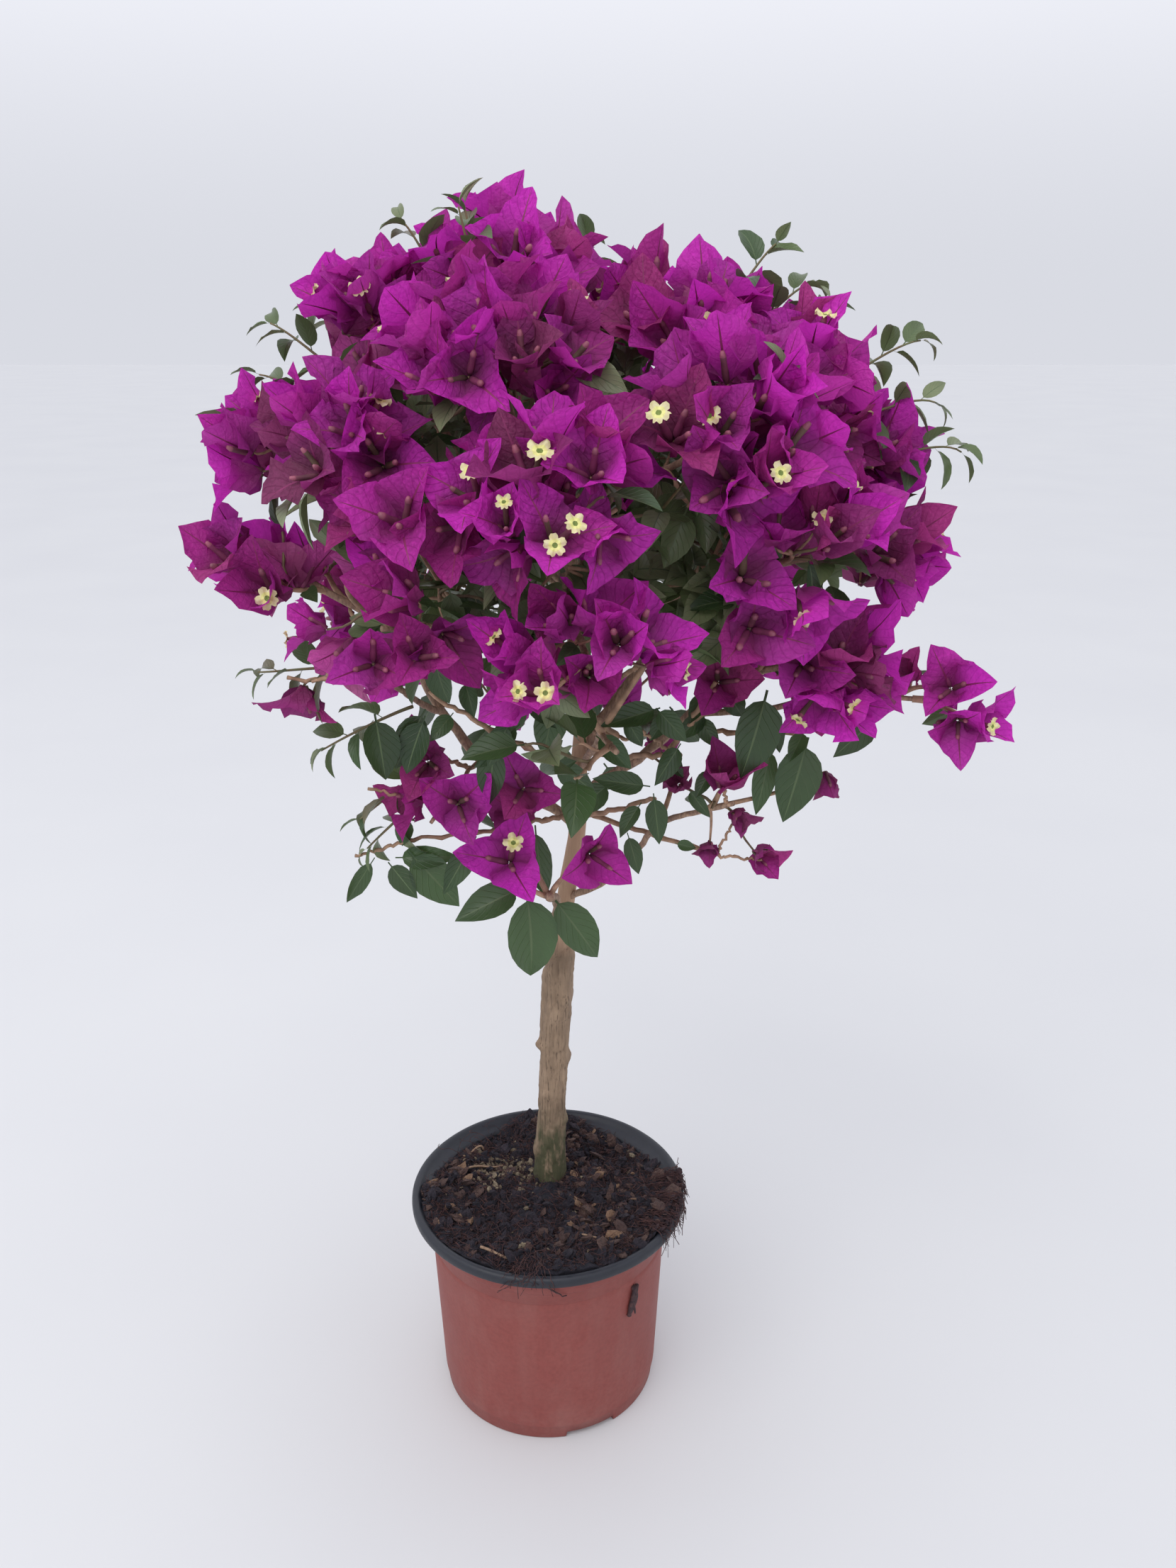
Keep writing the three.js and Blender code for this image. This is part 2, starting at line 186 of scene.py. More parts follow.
massNames = [n for n in sorted(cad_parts) if n.startswith("mass_")]
limbNames = [n for n in sorted(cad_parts) if n.startswith(("bough_", "branch_"))]
massTriangles = {n: nodeTriangles(n) for n in massNames}
massMiddle = {n: (t.reshape(-1, 3).min(0) + t.reshape(-1, 3).max(0)) / 2 for n, t in massTriangles.items()}
crownMiddle = np.array([0.018, 0.005, 0.528])
print("frame read:", len(massNames), "masses and", len(limbNames), "limbs")


def limbLines():
    # each limb as a smooth line from inside its parent to the middle of its own mass
    lines = {"trunk": (*sliceLine(nodeTriangles("trunk"), upward, 90, (0.004, 0.004)), "mass_top_left")}
    for name in limbNames:
        triangles = nodeTriangles(name)
        points = triangles.reshape(-1, 3)
        axis = np.linalg.svd(points - points.mean(0), full_matrices=False)[2][0]
        middles, radii = sliceLine(triangles, axis, 9, (0.12, 0.06))
        own = {"bough_spur": "mass_bottom", "bough_left": "mass_left_low"}.get(
            name, "mass_" + name.split("_", 1)[1])
        target = massMiddle[own]
        if norm(middles[0] - target) < norm(middles[-1] - target):
            middles, radii = middles[::-1], radii[::-1]
        first = middles[0] - (middles[1] - middles[0]) * 1.2
        nearest = np.inf
        for line, _, _ in lines.values():
            distance = norm(line - first, axis=1).min()
            if distance < nearest - 1 * mm:
                nearest, parentLine = distance, line
        root = parentLine[norm(parentLine - first, axis=1).argmin()]
        path = np.concatenate([[root], middles, [target]])
        # the section is measured on a slant, so the radius is evened out to a plain taper
        width = np.linspace(radii[:3].mean() * 0.94, radii[-3:].mean() * 0.8, len(path))
        lines[name] = (path, width, own)
    return lines


def srgb(r, g, b):
    c = np.array([r, g, b]) / 255
    return (*np.where(c <= 0.04045, c / 12.92, ((c + 0.055) / 1.055) ** 2.4), 1.0)


def addNode(tree, kind, inputs=(), **settings):
    # a socket given as an input is linked, anything else is its plain value
    node = tree.nodes.new("ShaderNode" + kind)
    for key, value in settings.items():
        setattr(node, key, value)
    for key, value in dict(inputs).items():
        if isinstance(value, bpy.types.NodeSocket):
            tree.links.new(value, node.inputs[key])
        else:
            node.inputs[key].default_value = value
    return node


def calculate(tree, operation, *values, clamped=False):
    return addNode(tree, "Math", dict(enumerate(values)), operation=operation, use_clamp=clamped).outputs[0]


def ramp(tree, value, start, end, low=0.0, high=1.0, ease="LINEAR"):
    # low where the value is start, high where it is end
    return addNode(tree, "MapRange", {
        "Value": value, "From Min": start, "From Max": end, "To Min": low, "To Max": high},
        interpolation_type=ease).outputs["Result"]


def noise(tree, vector, scale, detail, roughness):
    return addNode(tree, "TexNoise", {
        "Vector": vector, "Scale": scale, "Detail": detail, "Roughness": roughness}).outputs["Fac"]


def mixColour(tree, factor, first, second):
    return addNode(tree, "Mix", {0: factor, 6: first, 7: second}, data_type="RGBA").outputs[2]


def ownPlace(tree, source="Object"):
    if source == "along":
        return addNode(tree, "UVMap", uv_map="along").outputs["UV"]
    return addNode(tree, "TexCoord").outputs[source]


def coordinate(tree, axis, source="Object"):
    return addNode(tree, "SeparateXYZ", {"Vector": ownPlace(tree, source)}).outputs[axis]


def newGroup(name, output, **inputs):
    group = bpy.data.node_groups.new(name, "ShaderNodeTree")
    for label, value in inputs.items():
        socket = group.interface.new_socket(label, in_out="INPUT", socket_type="NodeSocketFloat")
        socket.default_value = value
    group.interface.new_socket(output, in_out="OUTPUT", socket_type="NodeSocketFloat")
    return group, group.nodes.new("NodeGroupInput").outputs


def closeGroup(group, value):
    group.links.new(value, group.nodes.new("NodeGroupOutput").inputs[0])
    return group


def buildMottle():
    # soft cloudy value over the piece, from Low to High
    group, given = newGroup("softMottle", "Value", Scale=60.0, Low=0.0, High=1.0)
    cloud = noise(group, ownPlace(group), given["Scale"], 3.0, 0.5)
    return closeGroup(group, ramp(group, cloud, 0.32, 0.68, given["Low"], given["High"]))


def buildStreaks():
    # noise drawn out along Z: fissures and fibres
    group, given = newGroup("upStreaks", "Value", Across=400.0, Along=40.0, Low=0.0, High=1.0)
    scale = addNode(group, "CombineXYZ", {"X": given["Across"], "Y": given["Across"], "Z": given["Along"]})
    drawn = addNode(group, "VectorMath", {
        0: ownPlace(group), 1: scale.outputs["Vector"]}, operation="MULTIPLY")
    grain = noise(group, drawn.outputs["Vector"], 1.0, 4.0, 0.6)
    return closeGroup(group, ramp(group, grain, 0.34, 0.66, given["Low"], given["High"]))


def buildVeins():
    # side veins of a leaf or bract from its own map: u across, v along from foot to tip
    group, given = newGroup("sideVeins", "Mask", Count=7.0, Slant=3.0, Width=0.16)
    away = calculate(group, "ABSOLUTE", calculate(group, "SUBTRACT", coordinate(group, "X", "along"), 0.5))
    slanted = calculate(group, "MULTIPLY", away, given["Slant"])
    counted = calculate(group, "MULTIPLY", coordinate(group, "Y", "along"), given["Count"])
    saw = calculate(group, "PINGPONG", calculate(group, "SUBTRACT", counted, slanted), 0.5)
    return closeGroup(group, ramp(group, saw, 0.0, given["Width"], 1.0, 0.0, "SMOOTHSTEP"))


def buildDust():
    # pale dust and splashes: a cloudy mask, stronger low down between two heights
    group, given = newGroup("dustVeil", "Mask", Scale=30.0, Amount=0.5, Foot=0.0, Head=0.05)
    low = ramp(group, coordinate(group, "Z"), given["Foot"], given["Head"], 1.0, 0.25)
    cloud = ramp(group, noise(group, ownPlace(group), given["Scale"], 6.0, 0.65), 0.45, 0.75)
    both = calculate(group, "MULTIPLY", low, cloud)
    return closeGroup(group, calculate(group, "MULTIPLY", both, given["Amount"]))


mottleGroup, streakGroup, veinGroup, dustGroup = buildMottle(), buildStreaks(), buildVeins(), buildDust()


def effect(tree, group, *values):
    # a group placed with its own values, in the order of its inputs
    return addNode(tree, "Group", dict(enumerate(values)), node_tree=group).outputs[0]


def mottle(tree, scale, low=0.0, high=1.0):
    return effect(tree, mottleGroup, scale, low, high)


def streaks(tree, across, along, low=0.0, high=1.0):
    return effect(tree, streakGroup, across, along, low, high)


def newMaterial(name, roughness, specular=0.5):
    material = bpy.data.materials.new(name)
    material.use_nodes = True
    shader = material.node_tree.nodes["Principled BSDF"]
    shader.inputs["Roughness"].default_value = roughness
    shader.inputs["Specular IOR Level"].default_value = specular
    return material, material.node_tree


def feed(tree, socket, value):
    tree.links.new(value, tree.nodes["Principled BSDF"].inputs[socket])


def paint(tree, colour, height, strength, depth):
    # the base colour, and relief of the given depth in mm
    feed(tree, "Base Color", colour)
    if strength:
        bump = addNode(tree, "Bump", {"Height": height, "Strength": strength, "Distance": depth * mm})
        feed(tree, "Normal", bump.outputs["Normal"])


def letLightThrough(tree, colour, share):
    # a thin blade: some of the light that falls on its far side shows through it
    shader = tree.nodes["Principled BSDF"].outputs["BSDF"]
    through = addNode(tree, "BsdfTranslucent", {"Color": colour}).outputs["BSDF"]
    both = addNode(tree, "MixShader", {0: share, 1: shader, 2: through}).outputs["Shader"]
    tree.links.new(both, tree.nodes["Material Output"].inputs["Surface"])


def twoShades(name, first, second, roughness, scale=160.0, high=1.0, relief=0.3, through=None):
    # two mottled shades of one thing, with light let through where it is thin
    material, tree = newMaterial(name, roughness)
    cloud = mottle(tree, scale, 0.0, high)
    paint(tree, mixColour(tree, cloud, srgb(*first), srgb(*second)), cloud, relief, 0.3)
    if through:
        letLightThrough(tree, srgb(*through), 0.25)
    return material


bractLook = {
    "tints": [(232, 58, 212), (220, 56, 200), (213, 58, 185), (202, 64, 180), (188, 54, 153), (192, 69, 146),
              (167, 61, 135), (156, 71, 119), (230, 102, 192), (218, 118, 178)],
    # the last two tints, the palest, go only to the inner trios: painted light over the crown's shade
    "outerTints": 8, "roughness": 0.62, "specular": 0.3, "shade": 0.56,
    # scale and strength of its clouding, its finest quilting and its puckers
    "clouds": [(150.0, 0.0, 0.55), (620.0, -0.3, 0.95), (330.0, -0.15, 0.6)],
    # the colour at each bract's foot: partly its own browner base, partly painted shade in the trio's cup
    "heartShade": (110, 60, 82), "veins": (7.0, 4.6, 0.1), "veinShare": 0.32, "veinColour": (96, 18, 62),
    "under": (206, 74, 166), "underShare": 0.2, "relief": 0.6, "glow": None, "through": 0.42,
    "midrib": ((116, 26, 78), (140, 34, 100), 0.6, 200.0, 0.6, 0.0),
}
leafLook = {
    "tints": [(38, 57, 33), (46, 68, 40), (55, 79, 47), (35, 50, 34), (86, 102, 66), (118, 128, 94),
              (106, 98, 76)],
    "roughness": 0.34, "specular": 0.5, "shade": 1.4, "clouds": [(90.0, 0.0, 0.6)],
    "heartShade": None, "veins": (8.0, 5.0, 0.12), "veinShare": 0.16, "veinColour": (84, 102, 66),
    "under": (104, 118, 86), "underShare": 0.35, "relief": 0.5, "glow": (108, 130, 78), "through": 0.17,
    "midrib": ((84, 102, 66), (74, 94, 58), 0.5, 120.0, 0.5, 0.0),
}


def bladeMaterials(kind, look):
    # one material for each tint and one for the midrib: clouded, veined, another colour behind
    made = []
    for i, tint in enumerate(look["tints"]):
        material, tree = newMaterial(f"{kind}Tint{i + 1}", look["roughness"], look["specular"])
        colour = srgb(*tint)
        other = tuple(min(c * look["shade"], 1) for c in colour[:3]) + (1.0,)
        clouds = [mottle(tree, *values) for values in look["clouds"]]
        for cloud in clouds:
            colour = mixColour(tree, cloud, colour, other)
        if look["heartShade"]:
            # darker and browner at the foot, fading out towards the middle of the blade: partly the bract's
            # own browner base, partly painted shade in the trio's cup
            share = ramp(tree, coordinate(tree, "Y", "along"), 0.04, 0.7, 0.88, 0.0, "SMOOTHSTEP")
            colour = mixColour(tree, share, colour, srgb(*look["heartShade"]))
        height = effect(tree, veinGroup, *look["veins"])
        share = calculate(tree, "MULTIPLY", height, look["veinShare"])
        colour = mixColour(tree, share, colour, srgb(*look["veinColour"]))
        backface = addNode(tree, "NewGeometry").outputs["Backfacing"]
        behind = calculate(tree, "MULTIPLY", backface, look["underShare"])
        colour = mixColour(tree, behind, colour, srgb(*look["under"]))
        if len(clouds) > 1:
            height = calculate(tree, "SUBTRACT", clouds[1], height)
            height = calculate(tree, "MULTIPLY_ADD", clouds[2], 1.6, height)
        paint(tree, colour, height, look["relief"], 0.4)
        letLightThrough(tree, srgb(*(look["glow"] or tint)), look["through"])
        made.append(material)
    return made + [twoShades(kind + "Midrib", *look["midrib"])]


barkLook = {
    "pale": srgb(170, 145, 120), "mid": srgb(139, 117, 95), "dark": srgb(78, 62, 50),
    "moss": srgb(58, 63, 38), "tan": srgb(196, 160, 132), "mossTop": 0.188, "tanFrom": 0.296,
}


def barkMaterial():
    material, tree = newMaterial("trunkBark", 0.82)
    dark, tanFrom, mossTop = (barkLook[k] for k in ("dark", "tanFrom", "mossTop"))
    fine, height = streaks(tree, 900.0, 70.0), coordinate(tree, "Z")
    base = mixColour(tree, mottle(tree, 55.0), barkLook["mid"], barkLook["pale"])
    grained = mixColour(tree, 0.45, base, mixColour(tree, streaks(tree, 240.0, 30.0), dark, base))
    cracked = mixColour(tree, ramp(tree, fine, 0.0, 0.35, 0.75, 0.0), grained, dark)
    young = ramp(tree, height, tanFrom - 0.004, tanFrom + 0.01, 0.0, 0.75)
    aged = mixColour(tree, young, cracked, barkLook["tan"])
    low, blotch = ramp(tree, height, mossTop - 0.05, mossTop, 1.7, 0.0), streaks(tree, 160.0, 60.0, 0.1, 1.5)
    share = calculate(tree, "MULTIPLY", calculate(tree, "MULTIPLY", low, blotch, clamped=True), 0.9)
    paint(tree, mixColour(tree, share, aged, barkLook["moss"]), fine, 0.6, 0.5)
    return material


def boughMaterial():
    material, tree = newMaterial("boughBark", 0.7)
    fine = streaks(tree, 700.0, 260.0)
    base = mixColour(tree, mottle(tree, 90.0), srgb(200, 166, 138), srgb(164, 136, 112))
    paint(tree, mixColour(tree, fine, srgb(122, 96, 82), base), fine, 0.5, 0.3)
    return material


def compostMaterial(name, dark, pale, amount=0.9):
    material, tree = newMaterial(name, 0.95)
    fine = mottle(tree, 900.0)
    both = calculate(tree, "MULTIPLY", fine, mottle(tree, 110.0, 0.0, amount))
    paint(tree, mixColour(tree, both, srgb(*dark), srgb(*pale)), fine, 0.8, 0.6)
    return material


potLook = {
    "clay": srgb(133, 63, 57), "clayPale": srgb(138, 69, 63), "clayDeep": srgb(118, 54, 49),
    "dust": srgb(158, 120, 112), "black": srgb(22, 26, 35), "blackPale": srgb(36, 39, 49),
    "grey": srgb(52, 57, 69), "roughness": 0.62, "rimRoughness": 0.45,
}


def potMaterial():
    material, tree = newMaterial("potPlastic", potLook["roughness"])
    broad, fine = mottle(tree, 22.0), mottle(tree, 420.0, 0.0, 0.5)
    base = mixColour(tree, broad, potLook["clay"], potLook["clayPale"])
    toned = mixColour(tree, fine, base, potLook["clayDeep"])
    dusty = mixColour(tree, effect(tree, dustGroup, 40.0, 0.42, 0.0, 0.03), toned, potLook["dust"])
    smeared = mixColour(tree, streaks(tree, 60.0, 12.0, -0.06, 0.09), dusty, potLook["dust"])
    feed(tree, "Roughness", ramp(tree, broad, 0.0, 1.0, 0.52, 0.7))
    paint(tree, smeared, fine, 0.12, 0.3)
    return material


def rimMaterial():
    material, tree = newMaterial("rimPlastic", potLook["rimRoughness"])
    fine = mottle(tree, 260.0, 0.0, 0.6)
    base = mixColour(tree, fine, potLook["black"], potLook["blackPale"])
    dusty = mixColour(tree, effect(tree, dustGroup, 60.0, 0.35, 0.12, 0.14), base, potLook["grey"])
    feed(tree, "Roughness", ramp(tree, fine, 0.0, 0.6, 0.38, 0.55))
    paint(tree, dusty, fine, 0.1, 0.2)
    return material


def turned(profile, angles):
    # a profile of (radius, height) in mm carried round Z: rows of points in one ring each
    radius, height = np.array(profile).T[:, :, None] * mm
    return polar(radius, angles, height)


potShape = {
    "underside": 65.8, "foot": 66.8, "shoulder": 73.0, "shoulderHeight": 115.0, "collar": 75.0, "top": 129.2,
    "wall": 1.8, "footHeight": 9.0, "footStep": 0.9, "floor": 2.5, "notches": 3, "notchWidth": 32.0,
    "notchHeight": 4.0, "notchReach": 61.0, "firstNotch": 24.0, "segments": 150,
    # the notches cut the first rows of the profile, and those from the inner wall's foot on
    "outerRows": 10, "innerRows": 31,
}


def potWall():
    look = potShape
    foot, shoulder, collar, top, wall, floor = (look[k] for k in (
        "foot", "shoulder", "collar", "top", "wall", "floor"))
    bend, step, ledge, reach, lift = (look[k] for k in (
        "shoulderHeight", "footHeight", "footStep", "notchReach", "notchHeight"))

    def wallAt(height):
        return foot + (shoulder - foot) / bend * height

    heights, base = np.linspace(step + 4, 103, 16), wallAt(step)
    lean = ledge * (1 - (heights - step) / (bend - step))
    profile = [
        [0.4, 0], [reach - 0.1, 0], [reach + 0.1, 0], [look["underside"], 0], [look["underside"] + 0.6, 0.3],
        [foot, 1], [base, step - 0.2], [base + 0.15, step + 0.1], [base + ledge - 0.1, step + 0.7],
        [base + ledge, step + 1.1], *([wallAt(h) + e, h] for h, e in zip(heights, lean)),
        [wallAt(105.4), 105.4], [wallAt(106) - 0.45, 106], [wallAt(107) - 0.45, 107], [wallAt(107.6), 107.6],
        [shoulder - 0.1, bend - 0.6], [shoulder + 0.3, bend], [collar - 0.4, bend + 1.6],
        [collar, bend + 2.4], [collar, top - 0.4], [collar - 0.4, top], [collar - wall, top],
        [collar - wall, bend + 2.6],
        [shoulder - wall, bend], [reach + 4.4, 8], [reach + 4.2, floor], [reach - 1.5, floor], [0.4, floor]]
    bearings = np.radians(look["firstNotch"] - 90 + np.arange(look["notches"]) * 360 / look["notches"])
    half = look["notchWidth"] / 2 / foot
    sides = np.array([-half - 0.004, -half + 0.004, half - 0.004, half + 0.004])
    edges = (bearings[:, None] + sides).ravel() % (2 * np.pi)
    even = allRound(look["segments"])

    def gapTo(angles, marks):
        return np.abs((angles[:, None] - marks + np.pi) % (2 * np.pi) - np.pi).min(1)

    angles = np.sort(np.concatenate([even[gapTo(even, edges) > 0.012], edges]))
    points = turned(profile, angles)
    inNotch = (gapTo(angles, bearings) < half)[None, :]
    radius, height = np.array(profile).T[:, :, None]
    rows = np.arange(len(profile))[:, None]
    outer = inNotch & (radius > reach) & (height < lift) & (rows < look["outerRows"])
    inner = inNotch & (radius > reach - 2) & (height < lift + 2) & (rows >= look["innerRows"])
    points[..., 2] = np.where(outer, lift * mm, points[..., 2])
    points[..., 2] = np.where(inner, (lift + 1.5) * mm, points[..., 2])
    # the thrown plastic is a little out of round between floor and collar
    ripple = 1 + 0.0016 * np.sin(2 * angles + 0.6)[None] * smoothStep(points[..., 2], 0.02, 0.09)
    points[..., :2] *= ripple[..., None]
    makePiece("potBody", points, tubeFaces(points[None]), ["pot"], [potMaterial()])


# the black rim's section in mm: its skirt inside the pot, outer band and rolled top
rimSection = [
    (71.8, 121.4), (72.1, 121.0), (72.7, 121.2), (72.8, 129.2), (73.4, 129.5), (83.6, 129.5), (84.4, 129.8),
    (84.8, 130.5), (84.9, 132.2), (84.8, 133.9), (84.4, 134.9), (83.7, 135.6), (82.7, 135.95), (81.7, 135.95),
    (80.8, 135.6), (80.0, 134.9), (79.2, 133.9), (78.0, 132.9), (76.2, 132.0), (74.2, 131.4), (72.8, 130.6),
    (72.0, 129.4), (71.8, 127.0)]


def potRim():
    angles = allRound(160)
    points = turned(rimSection, angles)
    wave = 1 + 0.0012 * np.sin(3 * angles + 1.1) + 0.0006 * np.sin(7 * angles)
    points[..., :2] *= np.minimum(wave, 1.0009)[None, :, None]
    rows, cols = points.shape[:2]
    ring, last = np.arange(cols), (rows - 1) * cols
    following = (ring + 1) % cols
    closing = np.stack([last + ring, last + following, following, ring], -1)
    makePiece("potRim", points, [gridFaces(1, rows, cols, closed=True), closing], ["pot_lip"],
              [rimMaterial()])


compostLook = {
    "wall": 71.4, "level": 130.0, "bottom": 118.0, "rows": 80, "cols": 260, "slopeReach": 7.6,
    # how high the compost stands against the pot, in mm, by bearing in degrees from the right
    "bearings": [-180, -150, -90, -50, -20, 5, 28, 48, 68, 86, 104, 132, 160, 180],
    "heights": [133.6, 134, 134, 134.6, 136.4, 136.2, 130, 127.5, 131, 135, 134, 129, 131, 133.6],
}
# loose bits on the compost, in mm: how many, their sizes (spread, scale, smallest, largest) and flatness
litterLook = {
    "chips": 1150, "chipSizes": (3.0, 0.7, 0.8, 5.0), "chipFlat": (0.4, 0.9),
    "brownChips": 840, "brownSizes": (3.0, 0.95, 0.9, 6.0), "brownFlat": (0.2, 0.6), "tanShare": 0.13,
    "grit": 420, "grains": 70, "gritSizes": (2.4, 0.5, 0.4, 2.6), "gritFlat": (0.5, 0.9),
    "patch": [-31, 24], "patchSpread": [11, 10], "gritReach": 68,
    "rimCrumbs": 150, "crumbSizes": (0.8, 2.4), "crumbFlat": (0.3, 0.6), "crumbReach": (74, 84.5),
    "crumbHeight": (135.6, 137.2), "crumbBearings": (-34, 10),
}
fibreLook = {
    "count": 4200, "steps": 7, "sides": 3, "length": (4, 13), "radius": (0.1, 0.3), "rise": (-0.05, 0.3),
    "wander": 0.4, "keepsOn": 0.45, "thinEnd": 0.7, "lift": (0.1, 4.5),
}
# strands over the rim at the right and at the front, and roots that curl up behind; bearings in degrees,
# the rest in mm
strandLook = {
    "over": 120, "front": 20, "behind": 9, "overBearings": (-34, 12), "frontBearing": (-97, 5),
    "behindBearing": (128, 14), "footReach": (60, 76), "crestReach": (79, 85, 5), "crestHeight": 136.4,
    "crestRise": 1.8, "endReach": (85.2, 86.6, 8), "endHeight": 136, "drop": (1.7, 3.4, 0.5, 20),
    "curlReach": (66, 82, 12), "curlHeight": (136, 141), "steps": 12, "sides": 4, "stray": 0.4,
    "radius": (0.1, 0.24),
    # the rim's band that strands keep out of: inner, middle and outer radius, where they go, and its top
    "band": (79.5, 83, 85.2), "outside": 85.3, "bandTop": 135.9, "above": 136.2,
}


def edgeHeight(angle):
    return np.interp((np.degrees(angle) + 180) % 360 - 180, compostLook["bearings"], compostLook["heights"])


def compostEdge(angle):
    # where the compost meets the pot, in mm: it lies out over the rim's slope where it is heaped
    return compostLook["wall"] + compostLook["slopeReach"] * smoothStep(edgeHeight(angle), 129.5, 134)


def compostHeightAt(x, y):
    # the surface in metres: level beside the stem, rising or dipping towards the rim, with lumps and crumbs
    u, v = x / mm, y / mm
    radius, angle = np.hypot(u, v), np.arctan2(v, u)
    climb = (edgeHeight(angle) - compostLook["level"]) * smoothStep(radius, 26, 74)
    climb = climb + 2.4 * (1 - smoothStep(radius, 12, 30))
    broad = latticeNoise(u / 12 + 60, v / 12 + 60, 4) * 2.8
    crumbs = latticeNoise(u / 6 + 90, v / 6 + 90, 5) * 1.9 + latticeNoise(u / 2.4 + 90, v / 2.4 + 90, 6) * 1.0
    fine = latticeNoise(u + 190, v + 190, 8) * 0.45
    return (compostLook["level"] + climb + broad + crumbs + fine) * mm


def compostTop():
    rows, cols, inner = (compostLook[k] for k in ("rows", "cols", "wall"))
    angles = allRound(cols)
    radii = np.linspace(0.008, 1, rows)[:, None] * compostEdge(angles)[None] * mm
    # the edge turns down inside the pot, where it isn't seen
    radii = np.concatenate([radii, np.full((2, cols), (inner - 0.2) * mm)])
    points = polar(radii, angles, 0.0)
    points[:rows, :, 2] = compostHeightAt(points[:rows, :, 0], points[:rows, :, 1])
    points[rows:, :, 2] = np.array([[122.0], [compostLook["bottom"]]]) * mm
    makePiece("compostTop", points, tubeFaces(points[None], -1), ["compost"],
              [compostMaterial("compostDark", (26, 26, 36), (60, 52, 60), 0.6)])


def onCompost(x, y, lift):
    return np.stack([x, y, compostHeightAt(x, y) + lift * mm], -1)


def makeLumps(name, spots, sizes, flat, rng, materials, sides=7, rows=5, secondShare=0.0):
    # small uneven pebbles: squashed spheres, each corner pushed in or out a little; sizes in mm
    count = len(spots)
    flat, turn = rng.uniform(*flat, count), anyTurn(rng, count)
    tilt = np.linspace(0.35, np.pi - 0.35, rows)
    ball = polar(np.sin(tilt)[:, None], allRound(sides), np.cos(tilt)[:, None])
    shape = ball[None] * rng.uniform(0.62, 1.3, (count, rows, sides, 1))
    shape = shape * np.stack([np.ones(count), rng.uniform(0.35, 0.9, count), flat], -1)[:, None, None]
    lean = rng.uniform(-0.8, 0.8, (count, 2))
    x, y = shape[..., 0], shape[..., 1]
    z = shape[..., 2] + x * lean[:, :1, None] + y * lean[:, 1:, None]
    c, s = np.cos(turn)[:, None, None], np.sin(turn)[:, None, None]
    points = np.stack([x * c - y * s, x * s + y * c, z], -1) * (sizes * mm)[:, None, None, None]
    points = spots[:, None, None] + points
    tones = None
    if secondShare:
        second = np.where(rng.uniform(0, 1, count) < secondShare, 1, 0)
        tones = np.concatenate([np.repeat(second, (rows - 1) * sides), np.tile(second, 2)])
    makePiece(name, points, tubeFaces(points, -1), (), materials, tones, smooth=False)


def scatterOnCompost(count, rng, lift):
    angle = rng.uniform(0, 2 * np.pi, count)
    radius = (compostEdge(angle) - 1.5) * np.sqrt(rng.uniform(0.012, 1, count)) * mm
    return onCompost(radius * np.cos(angle), radius * np.sin(angle), lift)


def lumpSizes(rng, count, spread, scale, smallest, largest):
    return rng.gamma(spread, scale, count).clip(smallest, largest)


def compostLitter():
    look = litterLook
    rng = np.random.default_rng(seeds["compost"])
    spots = scatterOnCompost(look["chips"], rng, 0.5)
    makeLumps("compostChips", spots, lumpSizes(rng, len(spots), *look["chipSizes"]), look["chipFlat"], rng,
              [compostMaterial("chipDark", (26, 24, 34), (60, 49, 56))])
    # bark chips and leaf crumbs lie mostly along the left edge and over the right half
    spots = scatterOnCompost(look["brownChips"], rng, 1.1)
    share = np.where(spots[:, 0] > 8 * mm, 0.42, np.where(spots[:, 0] < -45 * mm, 0.5, 0.1))
    share = share * np.where(np.hypot(spots[:, 0] - 36 * mm, spots[:, 1] + 20 * mm) < 24 * mm, 1.8, 1)
    spots = spots[rng.uniform(0, 1, len(spots)) < share]
    makeLumps("barkChips", spots, lumpSizes(rng, len(spots), *look["brownSizes"]), look["brownFlat"], rng,
              [compostMaterial("chipBrown", (62, 45, 44), (102, 80, 70)),
               compostMaterial("chipTan", (112, 86, 68), (150, 122, 98))], rows=4,
              secondShare=look["tanShare"])
    # a sandy patch behind and to the left of the stem, and single grains elsewhere
    patch = rng.normal(look["patch"], look["patchSpread"], (look["grit"], 2)) * mm
    x, y = np.concatenate([patch, scatterOnCompost(look["grains"], rng, 0)[:, :2]]).T
    x, y = (a[np.hypot(x, y) < look["gritReach"] * mm] for a in (x, y))
    sizes = lumpSizes(rng, len(x), *look["gritSizes"])
    makeLumps("compostGrit", onCompost(x, y, 0.4), sizes, look["gritFlat"], rng,
              [compostMaterial("gritSandy", (106, 94, 78), (160, 146, 122), 1.0)], sides=6, rows=4)


